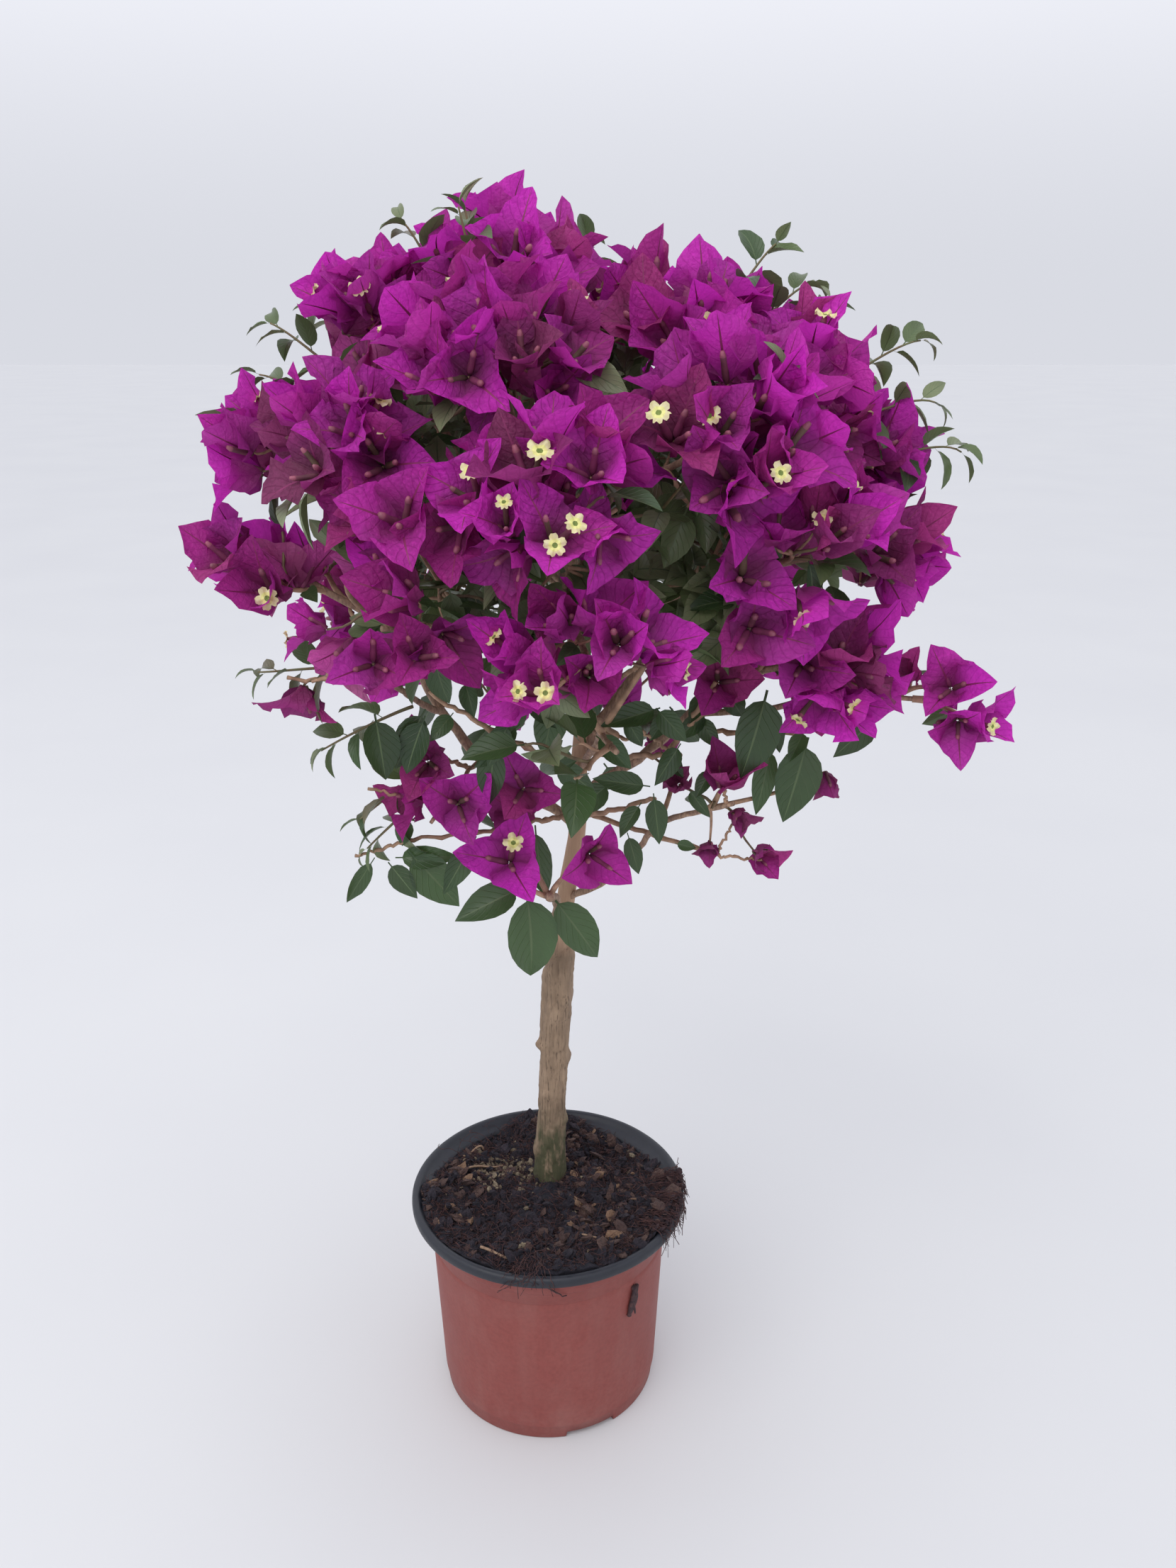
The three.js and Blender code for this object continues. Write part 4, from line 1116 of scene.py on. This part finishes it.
def gatherTrios(spots):
    # every trio: foot, facing, size, spread, tint and number of open flowers
    rng = np.random.default_rng(seeds["trios"])
    points, normals, owners = (np.concatenate(pair) for pair in zip(spots["outer"], spots["inner"]))
    count = len(points)
    isOuter = np.arange(count) < len(spots["outer"][0])
    facing = unit(normals * 0.95 + unit(points - crownMiddle) * 0.35 + upward * 0.28
                  + rng.normal(0, 0.24, (count, 3)))
    size = rng.normal(1.0, 0.09, count).clip(0.75, 1.2) * np.where(points[:, 2] > 0.6, 1.08, 1.0)
    spread = rng.beta(1.7, 2.1, count)
    # outer trios take mostly the bright tints; inner ones, in the shade, take dull ones and the paler ones,
    # which are painted light over that shade
    draw = rng.uniform(0, 1, count)
    bright = np.searchsorted(crownLook["brightShares"], draw)
    dullAndPaintedLight = np.array(crownLook["dullAndPaintedLightTints"])[np.searchsorted(crownLook["dullAndPaintedLightShares"], draw, side="right")]
    opened = rng.uniform(0, 1, count) < np.where(isOuter, crownLook["outerOpen"], 0.0)
    lone = np.array(loneTrios)
    place, loneFacing, loneSize = lone[:, :3] * mm, unit(lone[:, 3:6]), lone[:, 6]
    columns = {
        "foot": (points - facing * (crownLook["trioRise"] * mm * size)[:, None],
                 place - loneFacing * (crownLook["loneRise"] * mm * loneSize)[:, None]),
        "facing": (facing, loneFacing), "size": (size, loneSize), "spread": (spread, lone[:, 7]),
        "tint": (np.where(isOuter, bright, dullAndPaintedLight), lone[:, 8].astype(int)), "open": (opened, lone[:, 9] > 0),
        "owner": (owners, nearestMass(place)),
    }
    return {name: np.concatenate(pair) for name, pair in columns.items()}


def bractOutline(s):
    # broad near its foot, then nearly straight sides to a drawn-out tip
    egg = np.maximum(s, 1e-6) ** 0.5 * (1 - s) ** 0.98
    return egg / 0.4425 * 0.97 + 0.07 * (1 - s) ** 8 + 0.01 * s


bractShape = {
    "length": 29.5, "halfWidth": 0.51, "outline": bractOutline, "turnSpread": 0.14,
    "rows": [0, 0.05, 0.13, 0.26, 0.4, 0.54, 0.68, 0.81, 0.92, 1],
    "columns": [-1, -0.62, -0.28, -0.035, 0.035, 0.28, 0.62, 1],
    "cup": (0.35, 1.1), "fold": (0.02, 0.16), "ripple": (0.14, 0.38), "waves": (1.2, 3.0), "twist": 0.2,
    # bends at foot and tip in degrees: closed, how much more when wide open, and spread
    "footBend": (17, 25, 4), "tipBend": (24, 56, 12), "footGap": 0.7, "lengthSpread": 0.05,
    "widthSpread": 0.06, "cupShare": (1.15, -0.45),
}


def bractTrios(trios):
    look, rng = bractShape, np.random.default_rng(seeds["bracts"])
    count = 3 * len(trios["foot"])
    three = np.repeat(np.arange(count // 3), 3)
    turn = np.tile(np.arange(3), count // 3) * 2 * np.pi / 3 + np.repeat(anyTurn(rng, count // 3), 3)
    turn += rng.normal(0, look["turnSpread"], count)
    middle, axis, spread, size, tint = (trios[k][three] for k in ("foot", "facing", "spread", "size", "tint"))
    lean, _ = frameRound(axis, turn)
    length = look["length"] * mm * size * rng.normal(1, look["lengthSpread"], count)
    width = length * look["halfWidth"] * rng.normal(1, look["widthSpread"], count)
    bend = [np.radians(closed + more * spread + rng.normal(0, stray, count))
            for closed, more, stray in (look["footBend"], look["tipBend"])]
    # each bract starts a little out from the trio's middle, and a wide open one is less cupped
    closed, more = look["cupShare"]
    points, uv = blades(middle + lean * (look["footGap"] * mm), axis, lean, length, width, (*bend, 1.2), look,
                        rng, closed + more * spread)
    # a tint may shift by one, within the outer or the inner ones
    outerTints = bractLook["outerTints"]
    shaded, tint = tint >= outerTints, tint + rng.choice([-1, 0, 0, 0, 1], count)
    tint = np.clip(tint, np.where(shaded, outerTints, 0), np.where(shaded, outerTints + 1, outerTints - 1))
    tones = bladeTones(tint, points, len(bractLook["tints"]))
    materials = bladeMaterials("bract", bractLook)
    # the upper and the lower half of the crown are two pieces, to keep each one light
    high = middle[:, 2] > np.median(trios["foot"][:, 2])
    for name, chosen, nodes in (("bractsHigh", high, massNames), ("bractsLow", ~high, ())):
        part = gridFaces(*points[chosen].shape[:3])
        makePiece(name, points[chosen], [part], nodes, materials, tones[chosen].ravel(),
                  uv[chosen])
    print("bracts", count)
    return lean


tubeShape = {
    "length": 14.5, "lengthSpread": 0.1, "sides": 6, "widths": [1.0, 1.6, 1.65, 1.4, 1.35, 1.5, 0.85],
    "widthSpread": 0.06, "footGap": 1.2, "tilt": (24, 6), "stray": 0.6, "openLonger": 4,
}


def flowerTubes(trios, lean):
    look, rng = tubeShape, np.random.default_rng(seeds["tubes"])
    count, sides, rings = len(lean), look["sides"], len(look["widths"])
    three = np.repeat(np.arange(count // 3), 3)
    axis, size = trios["facing"][three], trios["size"][three]
    foot = trios["foot"][three] + lean * (look["footGap"] * mm)
    tilt = np.radians(rng.normal(*look["tilt"], count))[:, None]
    heading = axis * np.cos(tilt) + lean * np.sin(tilt)
    length = (look["length"] * mm * size * rng.normal(1, look["lengthSpread"], count))[:, None]
    # now and then a second one is open, but not on the trios placed one by one
    second = rng.uniform(0, 1, count // 3) < crownLook["secondOpen"]
    second[-len(loneTrios):] = False
    isOpen = np.stack([trios["open"], trios["open"] & second, 0 * second > 0], 1).ravel()
    tip = foot + heading * length + rng.normal(0, look["stray"] * mm, (count, 3))
    tip = np.where(isOpen[:, None], tip + axis * look["openLonger"] * mm, tip)
    pull = tip - unit(heading + axis) * length * 0.3
    paths = bezier(foot, foot + heading * length * 0.35, pull, tip, rings)
    widths = np.array(look["widths"])[None] * mm * size[:, None]
    widths = widths * rng.normal(1, look["widthSpread"], (count, 1))
    # three shades of tube, and one for all their tips
    shade = rng.integers(0, 3, count)
    body = np.repeat(shade[:, None], (rings - 1) * sides, 1)
    body[:, (rings - 2) * sides:] = 3
    materials = [twoShades(name, first, second, 0.6) for name, first, second in (
        ("tubeBrown", (132, 74, 92), (100, 62, 72)), ("tubePlum", (142, 62, 104), (112, 54, 80)),
        ("tubeGreen", (108, 88, 70), (86, 66, 58)), ("tubeTip", (160, 88, 108), (124, 72, 86)))]
    makeTubes("flowerTubes", paths, widths, sides, materials,
              np.concatenate([body.ravel(), shade, np.full(count, 3)]))
    direction = unit(paths[:, -1] - paths[:, -2])
    return tip[isOpen], direction[isOpen], size[isOpen]


petalShape = {
    "radius": 5.2, "sides": 30, "rings": [0.0, 0.22, 0.5, 0.8, 1.0], "lobes": 5, "lobeDepth": 0.4,
    "notchDepth": 0.12, "wave": 0.9, "crinkle": 0.5, "rise": 0.5,
}


def openFlowers(tips, directions, sizes):
    # five-lobed limbs, corrugated between the lobes and green in the throat
    look, rng, lobes = petalShape, np.random.default_rng(seeds["flowers"]), petalShape["lobes"]
    right, ahead = frameRound(directions, anyTurn(rng, len(tips)))
    angle = allRound(look["sides"])
    rings = np.array(look["rings"])[:, None]
    lobe = 1 - look["lobeDepth"] * smoothStep(rings, 0.4, 1) * (1 - np.abs(np.cos(lobes / 2 * angle)) ** 0.7)
    between = (angle + np.pi / lobes) % (2 * np.pi / lobes) - np.pi / lobes
    notch = 1 - look["notchDepth"] * smoothStep(rings, 0.8, 1) * np.exp(-(between / 0.12) ** 2)
    radius = rings * lobe * notch * look["radius"]
    lift = look["wave"] * np.cos(lobes * angle) * rings ** 1.5 + look["rise"] - look["rise"] * (1 - rings) ** 3
    lift = lift + look["crinkle"] * rings ** 2 * np.cos(2 * lobes * angle + 0.4)
    parts = ((right, radius * np.cos(angle)), (ahead, radius * np.sin(angle)), (directions, lift))
    flat = sum(way[:, None, None] * (reach * mm)[None, ..., None] for way, reach in parts)
    points = tips[:, None, None] + flat * sizes[:, None, None, None]
    tones = np.tile(np.repeat([2, 1, 0, 0], look["sides"]), len(tips))
    materials = [
        twoShades("petalCream", (246, 240, 196), (228, 220, 158), 0.5, 500.0, through=(235, 230, 160)),
        twoShades("petalYellow", (232, 228, 150), (206, 206, 122), 0.5, 500.0),
        twoShades("petalThroat", (120, 136, 60), (96, 116, 50), 0.6, 500.0)]
    faces = [gridFaces(*points.shape[:3], closed=True)]
    makePiece("openFlowers", points, faces, (), materials, tones)
    print("open flowers", len(tips))


def leafOutline(s):
    # a narrow stalk, then an egg-shaped blade with a long tip
    u = np.clip((s - 0.12) / 0.88, 1e-6, 1)
    egg = u ** 0.62 * (1 - u) ** 1.1
    return np.where(s < 0.13, 0.045, egg / 0.424 + 0.03 * (1 - u) ** 4 + 0.008)


leafShape = {
    "outline": leafOutline, "rows": [0, 0.06, 0.12, 0.16, 0.24, 0.36, 0.5, 0.64, 0.77, 0.89, 1],
    "columns": [-1, -0.52, -0.045, 0.045, 0.52, 1],
    "cup": (0.2, 0.55), "fold": (0.08, 0.34), "ripple": (0.02, 0.1), "waves": (1.5, 3), "twist": 0.3,
    # lengths in mm, and widths as shares of the length, of the shoots' leaves and of those under the trios
    "length": (22, 34), "lowerLonger": 8, "ratio": (0.29, 0.37),
    "smallLength": (15, 25), "smallRatio": (0.28, 0.36),
    # tint numbers by place: the crown's leaves take mostly paler ones than the low leaves, and the deep ones
    # the palest, as painted light over the crown's shade; the deep ones lie this near the crown's middle and
    # this high
    "crownTints": [1, 2, 2, 4, 4, 4, 5, 5], "lowTints": [0, 1, 1, 2], "deepPaintedLightTint": 5, "deepReach": 0.112,
    "deepFrom": 0.5, "lowBelow": 0.49, "lowShares": [0.3, 0.6, 0.76, 0.95], "hangingDroop": 18.0,
    "youngTints": {4: 0.4, 5: 0.25, 6: 0.15, 2: 0.2}, "youngRatio": (0.24, 0.33), "youngLength": (30, 15),
}


def leafBlades(name, foot, heading, above, length, ratio, tint, droop, rng, materials):
    count = len(foot)
    # the blade bends away from its upper side
    square = unit(above - (above * heading).sum(-1, keepdims=True) * heading)
    bend = (np.radians(rng.uniform(-12, 8, count)), np.radians(droop + rng.normal(0, 10, count)), 1.1)
    points, uv = blades(foot, heading, -square, length, length * ratio, bend, leafShape, rng)
    tones = bladeTones(tint, points, len(leafLook["tints"])).ravel()
    makePiece(name, points, [gridFaces(*points.shape[:3])], massNames, materials, tones, uv)


def subBranches(targets, owners):
    # a few side branches in each mass, from its limb to nodes among the sprays that it bears
    byMass = {line[2]: line[0] for line in lines.values()}
    starts, pulls, ends = [], [], []
    for k, name in enumerate(massNames):
        own = targets[owners == k]
        if not len(own):
            continue
        picked, gap = [0], norm(own - own[0], axis=1)
        wanted = int(np.clip(round(len(own) / twigLook["spraysPerBranch"]), *twigLook["branches"]))
        for _ in range(min(wanted, len(own)) - 1):
            picked.append(int(gap.argmax()))
            gap = np.minimum(gap, norm(own - own[picked[-1]], axis=1))
        nodes = massMiddle[name] + (own[picked] - massMiddle[name]) * twigLook["branchReach"]
        path = byMass[name]
        first = int(len(path) * 0.45)
        near = norm(nodes[:, None] - path[None, first:], axis=2).argmin(1)
        near = first + np.maximum(near - 4, 0)
        starts.append(path[near])
        pulls.append(unit(np.gradient(path, axis=0)[near]))
        ends.append(nodes)
    return np.concatenate(starts), np.concatenate(pulls), np.concatenate(ends)


def clearOfCups(feet, headings, lengths, trios):
    # a leaf is left out where it would come up through a trio: its middle, quarter and tip are tried
    clear = np.ones(len(feet), bool)
    wide = np.tan(np.radians(26 + 34 * trios["spread"]))
    for share in (0.3, 0.6, 0.95):
        places = feet + headings * (lengths * share)[:, None]
        for rows in np.array_split(np.arange(len(feet)), 24):
            offset = places[rows, None] - trios["foot"][None]
            high = (offset * trios["facing"][None]).sum(-1)
            out = norm(offset - high[..., None] * trios["facing"][None], axis=-1)
            clear[rows] &= ~((high > 2 * mm) & (high < 25 * mm) & (out < high * wide + 1.5 * mm)).any(1)
    return clear


def clearOfLoneTrios(feet, headings, lengths):
    # no leaf of the crown hangs before a trio that was placed one by one, seen from the front
    place = np.array(loneTrios)[:, :3] * mm
    sight = unit(sightFrom - place)
    clear = np.ones(len(feet), bool)
    for share in (0.25, 0.6, 0.95):
        offset = (feet + headings * (lengths * share)[:, None])[:, None] - place[None]
        nearer = (offset * sight).sum(-1)
        gap = norm(offset - nearer[..., None] * sight, axis=-1)
        clear &= ~((nearer > -4 * mm) & (gap < 11 * mm)).any(1)
    return clear


twigLook = {
    "branchSteps": 14, "branchSides": 8, "branchRadii": (1.75, 0.95), "branches": (3, 10),
    "spraysPerBranch": 4.5, "branchReach": 0.66, "stalkSteps": 10, "stalkSides": 5,
    "stalkRadii": (0.95, 0.62), "greenShare": 0.45, "bareSteps": 18, "knotShare": 0.14,
    "bareSides": 7, "shootSteps": 16, "shootSides": 6, "shootRadii": (1.0, 0.45),
}


def growTwigs(trios, shoots):
    # side branches in each mass, then one stalk to every trio and one shoot to every leaf spray
    rng = np.random.default_rng(seeds["twigs"])
    targets, owners, arrive = (np.concatenate([trios[a], shoots[b]]) for a, b in (
        ("foot", "tip"), ("owner", "owner"), ("facing", "heading")))
    count, steps, stalkSteps = len(targets), twigLook["branchSteps"], twigLook["stalkSteps"]
    start, pull, end = subBranches(targets, owners)
    span = norm(end - start, axis=1, keepdims=True)
    sideBend = rng.normal(0, 0.16, start.shape) * span
    branches = bezier(start, start + pull * span * 0.4, end - (end - start) * 0.3 + sideBend, end, steps)
    widths = np.linspace(*twigLook["branchRadii"], steps)[None] * mm * rng.uniform(0.8, 1.15, (len(start), 1))
    woody = twoShades("twigWood", (186, 150, 122), (140, 112, 90), 0.75, 220.0)
    green = twoShades("twigGreen", (126, 114, 80), (104, 86, 68), 0.65, 220.0)
    makeTubes("sideBranches", branches, widths, twigLook["branchSides"], [woody])
    # attach every stalk a little way back from the nearest place on a side branch
    allPoints = branches.reshape(-1, 3)
    nearest = np.concatenate([norm(block[:, None] - allPoints[None], axis=2).argmin(1)
                              for block in np.array_split(targets, 12)])
    at = nearest // steps * steps + np.maximum(nearest % steps - 3, 2)
    start, head = allPoints[at], unit(np.gradient(branches, axis=1)).reshape(-1, 3)[at]
    gap = norm(targets - start, axis=1, keepdims=True)
    # a stalk neither sets off nor arrives backwards, so none makes a loop
    ahead = unit(targets - start)
    leave, enter = (np.clip((way * ahead).sum(-1, keepdims=True) + 0.3, 0, 1) for way in (head, arrive))
    first = start + unit(head * leave + 0.6 * ahead) * gap * 0.35
    second = targets - unit(arrive * enter + 0.4 * ahead) * gap * 0.35
    paths = bezier(start, first, second, targets, stalkSteps)
    crooked = rng.normal(0, 0.35 * mm, paths[:, 1:-1].shape)
    paths[:, 1:-1] += crooked * np.clip(gap / (50 * mm), 0.1, 1)[..., None]
    thick = np.where(np.arange(count) < len(trios["foot"]), 1.0, 1.1)[:, None]
    thick = thick * rng.uniform(0.85, 1.15, (count, 1))
    widths = np.linspace(*twigLook["stalkRadii"], stalkSteps)[None] * mm * thick
    shade = (rng.uniform(0, 1, count) < twigLook["greenShare"]).astype(int)
    shade = np.repeat(shade, (stalkSteps - 1) * twigLook["stalkSides"])
    tones = np.concatenate([shade, np.zeros(2 * count, int)])
    makeTubes("stalks", paths, widths, twigLook["stalkSides"], [woody, green], tones)
    growBareTwigs(rng, woody)
    print("side branches", len(branches), "stalks", count)
    return paths


def growBareTwigs(rng, woody):
    # they show below the crown, a little crooked; each sets off from the nearest limb or earlier twig
    wood, rows = np.concatenate([line[0] for line in lines.values()]), np.array(lowTwigs)
    grown, steps = [], twigLook["bareSteps"]
    for row in rows:
        start, tip, sag = row[:3] * mm, row[3:6] * mm, -row[7] * mm * upward
        start = wood[norm(wood - start, axis=1).argmin()]
        pulls = (start, start + (tip - start) * 0.33 + sag * 1.4, start + (tip - start) * 0.7 + sag, tip)
        grown.append(bezier(*(p[None] for p in pulls), steps)[0])
        wood = np.concatenate([wood, grown[-1]])
    bare = np.array(grown)
    bare[:, 1:-1] += rng.normal(0, 0.55 * mm, bare[:, 1:-1].shape)
    girth = rows[:, 6:7] * np.linspace(1.1, 0.8, steps) * mm
    girth = girth * (1 + 0.3 * (rng.uniform(0, 1, girth.shape) < twigLook["knotShare"]))
    makeTubes("bareTwigs", bare, girth, twigLook["bareSides"], [woody])


def clothe():
    spots = crownSpots()
    trios = gatherTrios(spots)
    rng = np.random.default_rng(seeds["leaves"])
    tips, normals, owners = spots["leaf"]
    heading = unit(normals * 0.8 + rng.normal(0, 0.35, tips.shape) + upward * 0.1)
    low = smoothStep(-tips[:, 2], -0.5, -0.42)
    heading = unit(heading - upward * 0.5 * low[:, None])
    trioCount = len(trios["foot"])
    print("trios", trioCount, "leaf shoots", len(tips))
    openFlowers(*flowerTubes(trios, bractTrios(trios)))
    paths = growTwigs(trios, {"tip": tips, "heading": heading, "owner": owners})
    materials = bladeMaterials("leaf", leafLook)
    look, crownTints = leafShape, np.array(leafShape["crownTints"])
    leaves = []
    # three leaves on each shoot: one at its tip and two lower, turned round it
    turn = anyTurn(rng, len(tips))
    for place, tilt, share in ((9, 0.12, 1), (8, 0.95, 1), (6, 1.15, 0.86)):
        foot = paths[trioCount:, place]
        count = len(foot)
        tangent = unit(foot - paths[trioCount:, place - 1])
        side, _ = frameRound(tangent, turn + place * 2.4)
        angle = (tilt + rng.normal(0, 0.15, count))[:, None]
        above = unit(upward * 0.75 + unit(foot - crownMiddle) * 0.55 + rng.normal(0, 0.25, foot.shape))
        length = (rng.uniform(*look["length"], count) + look["lowerLonger"] * low) * mm * share
        ratio = rng.uniform(*look["ratio"], count)
        # the low leaves take the first tints by these shares, and those deep in the crown a light one, painted
        # light over the crown's shade
        draw = rng.uniform(0, 1, count)
        tint = crownTints[(draw * len(crownTints)).astype(int)]
        tint = np.where(low > 0.5, np.searchsorted(look["lowShares"], draw), tint)
        deep = (norm(foot - crownMiddle, axis=1) < look["deepReach"]) & (foot[:, 2] > look["deepFrom"])
        tint = np.where(deep, look["deepPaintedLightTint"], tint)
        leaves.append((foot, unit(tangent * np.cos(angle) + side * np.sin(angle)), above, length, ratio, tint,
                       rng.uniform(18, 42, count)))
    # one or two smaller leaves on the stalk under a trio
    for place, chance in ((5, 0.35), (3, 0.3)):
        chosen = np.flatnonzero(rng.uniform(0, 1, trioCount) < chance)
        foot, count = paths[chosen, place], len(chosen)
        tangent = unit(foot - paths[chosen, place - 1])
        side, _ = frameRound(tangent, anyTurn(rng, count))
        leaves.append((
            foot, unit(tangent * 0.05 + side),
            unit(upward * 0.6 + tangent * 0.7 + rng.normal(0, 0.2, foot.shape)),
            rng.uniform(*look["smallLength"], count) * mm, rng.uniform(*look["smallRatio"], count),
            np.where(foot[:, 2] < look["lowBelow"], rng.choice(look["lowTints"], count),
                     crownTints[rng.integers(0, len(crownTints), count)]),
            rng.uniform(18, 45, count)))
    columns = [np.concatenate(a) for a in zip(*leaves)]
    feet, heads, lengths = columns[0], columns[1], columns[3]
    clear = clearOfCups(feet, heads, lengths, trios) & clearOfLoneTrios(feet, heads, lengths)
    leafBlades("crownLeaves", *(a[clear] for a in columns), rng, materials)
    print("crown leaves", int(clear.sum()), "of", len(clear))
    lone = np.array(loneLeaves)
    feet, reach = lone[:, :3] * mm, (lone[:, 3:6] - lone[:, :3]) * mm
    above = unit(np.array([0, -0.9, 0.35]) + rng.normal(0, 0.16, feet.shape))
    leafBlades("hangingLeaves", feet, unit(reach), above, norm(reach, axis=1) * 1.04, lone[:, 6],
               rng.choice(look["lowTints"], len(feet)), np.full(len(feet), look["hangingDroop"]), rng,
               materials)
    growShoots(rng, materials)


def growShoots(rng, materials):
    # thin green stems beyond the crown with small folded young leaves in turn along them
    rows, steps = np.array(youngShoots), twigLook["shootSteps"]
    start, reach, arch = rows[:, :3] * mm, (rows[:, 3:6] - rows[:, :3]) * mm, rows[:, 6:7] * mm
    start, tip = start + unit(crownMiddle - start) * 18 * mm, rows[:, 3:6] * mm
    paths = bezier(start, start + reach * 0.35, tip - reach * 0.3 + upward * arch, tip, steps)
    widths = np.linspace(*twigLook["shootRadii"], steps)[None] * mm * np.ones((len(start), 1))
    makeTubes("youngStems", paths, widths, twigLook["shootSides"],
              [twoShades("shootStem", (104, 108, 70), (120, 96, 70), 0.6, 260.0)])
    tangents = unit(np.gradient(paths, axis=1))
    leaves = []
    for k, count in enumerate(rows[:, 7].astype(int)):
        at = np.linspace(5, steps - 1, count)
        lower = np.floor(at).astype(int).clip(0, steps - 2)
        share = (at - lower)[:, None]
        tangent = tangents[k, lower]
        side, _ = frameRound(tangent, np.arange(count) * 2.4 + rng.uniform(0, 6))
        tilt = np.linspace(1.15, 0.45, count)[:, None]
        leaves.append((
            paths[k, lower] * (1 - share) + paths[k, lower + 1] * share,
            unit(tangent * np.cos(tilt) + side * np.sin(tilt)),
            unit(tangent * 0.5 + upward * 0.9 + rng.normal(0, 0.15, (count, 3))),
            np.linspace(*leafShape["youngLength"], count) * rng.uniform(0.85, 1.15, count) * mm))
    columns = [np.concatenate(a) for a in zip(*leaves)]
    count = len(columns[0])
    tints = leafShape["youngTints"]
    tint = rng.choice(list(tints), count, p=list(tints.values()))
    leafBlades("youngLeaves", *columns, rng.uniform(*leafShape["youngRatio"], count), tint,
               rng.uniform(35, 80, count), rng, materials)


print("crown")
clothe()


def linked(name, data):
    thing = bpy.data.objects.new(name, data)
    bpy.context.scene.collection.objects.link(thing)
    return thing


def buildStage():
    mesh = bpy.data.meshes.new("floorPlane")
    reach = 14.0
    corners = [(-reach, -reach, 0), (reach, -reach, 0), (reach, reach, 0), (-reach, reach, 0)]
    mesh.from_pydata(corners, [], [(0, 1, 2, 3)])
    mesh.materials.append(twoShades("floorPaint", (213, 214, 215), (208, 209, 211), 0.7, 3.0, 0.5, 0.0))
    linked("floorPlane", mesh)


lightLook = {
    "level": srgb(217, 219, 227), "overhead": srgb(232, 233, 240), "strength": 1.0, "overheadStrength": 1.3,
    "keyPlace": (-0.9, -1.5, 2.3), "keySize": 2.2, "keyPower": 26.0, "keyColour": (1.0, 0.985, 0.96),
    "aim": (0.0, 0.0, 0.4),
}


def buildLight():
    # a soft sky, brighter overhead than at eye level, and one large lamp
    look = lightLook
    world = bpy.data.worlds.new("softSky")
    world.use_nodes = True
    tree = world.node_tree
    sky = tree.nodes["Background"]
    climb = ramp(tree, coordinate(tree, "Z", "Generated"), 0.0, 0.38, ease="SMOOTHSTEP")
    tree.links.new(mixColour(tree, climb, look["level"], look["overhead"]), sky.inputs["Color"])
    strength = ramp(tree, climb, 0.0, 1.0, look["strength"], look["overheadStrength"])
    tree.links.new(strength, sky.inputs["Strength"])
    bpy.context.scene.world = world
    lamp = bpy.data.lights.new("keyLight", "AREA")
    lamp.size, lamp.energy, lamp.color = look["keySize"], look["keyPower"], look["keyColour"]
    key = linked("keyLight", lamp)
    key.location = look["keyPlace"]
    key.rotation_mode = "QUATERNION"
    aim = mathutils.Vector(np.array(look["aim"]) - np.array(look["keyPlace"]))
    key.rotation_quaternion = aim.to_track_quat("-Z", "Y")


cameraLook = {
    "place": (0.025, -0.6855, 0.6572), "tilt": 69.74, "lens": 30.17, "sensor": 36.0, "clip": (0.01, 100),
}


def buildCamera():
    data = bpy.data.cameras.new("viewCamera")
    data.lens, data.sensor_width, data.sensor_fit = cameraLook["lens"], cameraLook["sensor"], "AUTO"
    data.clip_start, data.clip_end = cameraLook["clip"]
    camera = linked("viewCamera", data)
    camera.location = cameraLook["place"]
    camera.rotation_euler = (np.radians(cameraLook["tilt"]), 0, 0)
    bpy.context.scene.camera = camera


print("stage, light and camera")
buildStage()
buildLight()
buildCamera()
bpy.context.scene.view_settings.view_transform = "Standard"
bpy.context.scene.view_settings.look = "None"
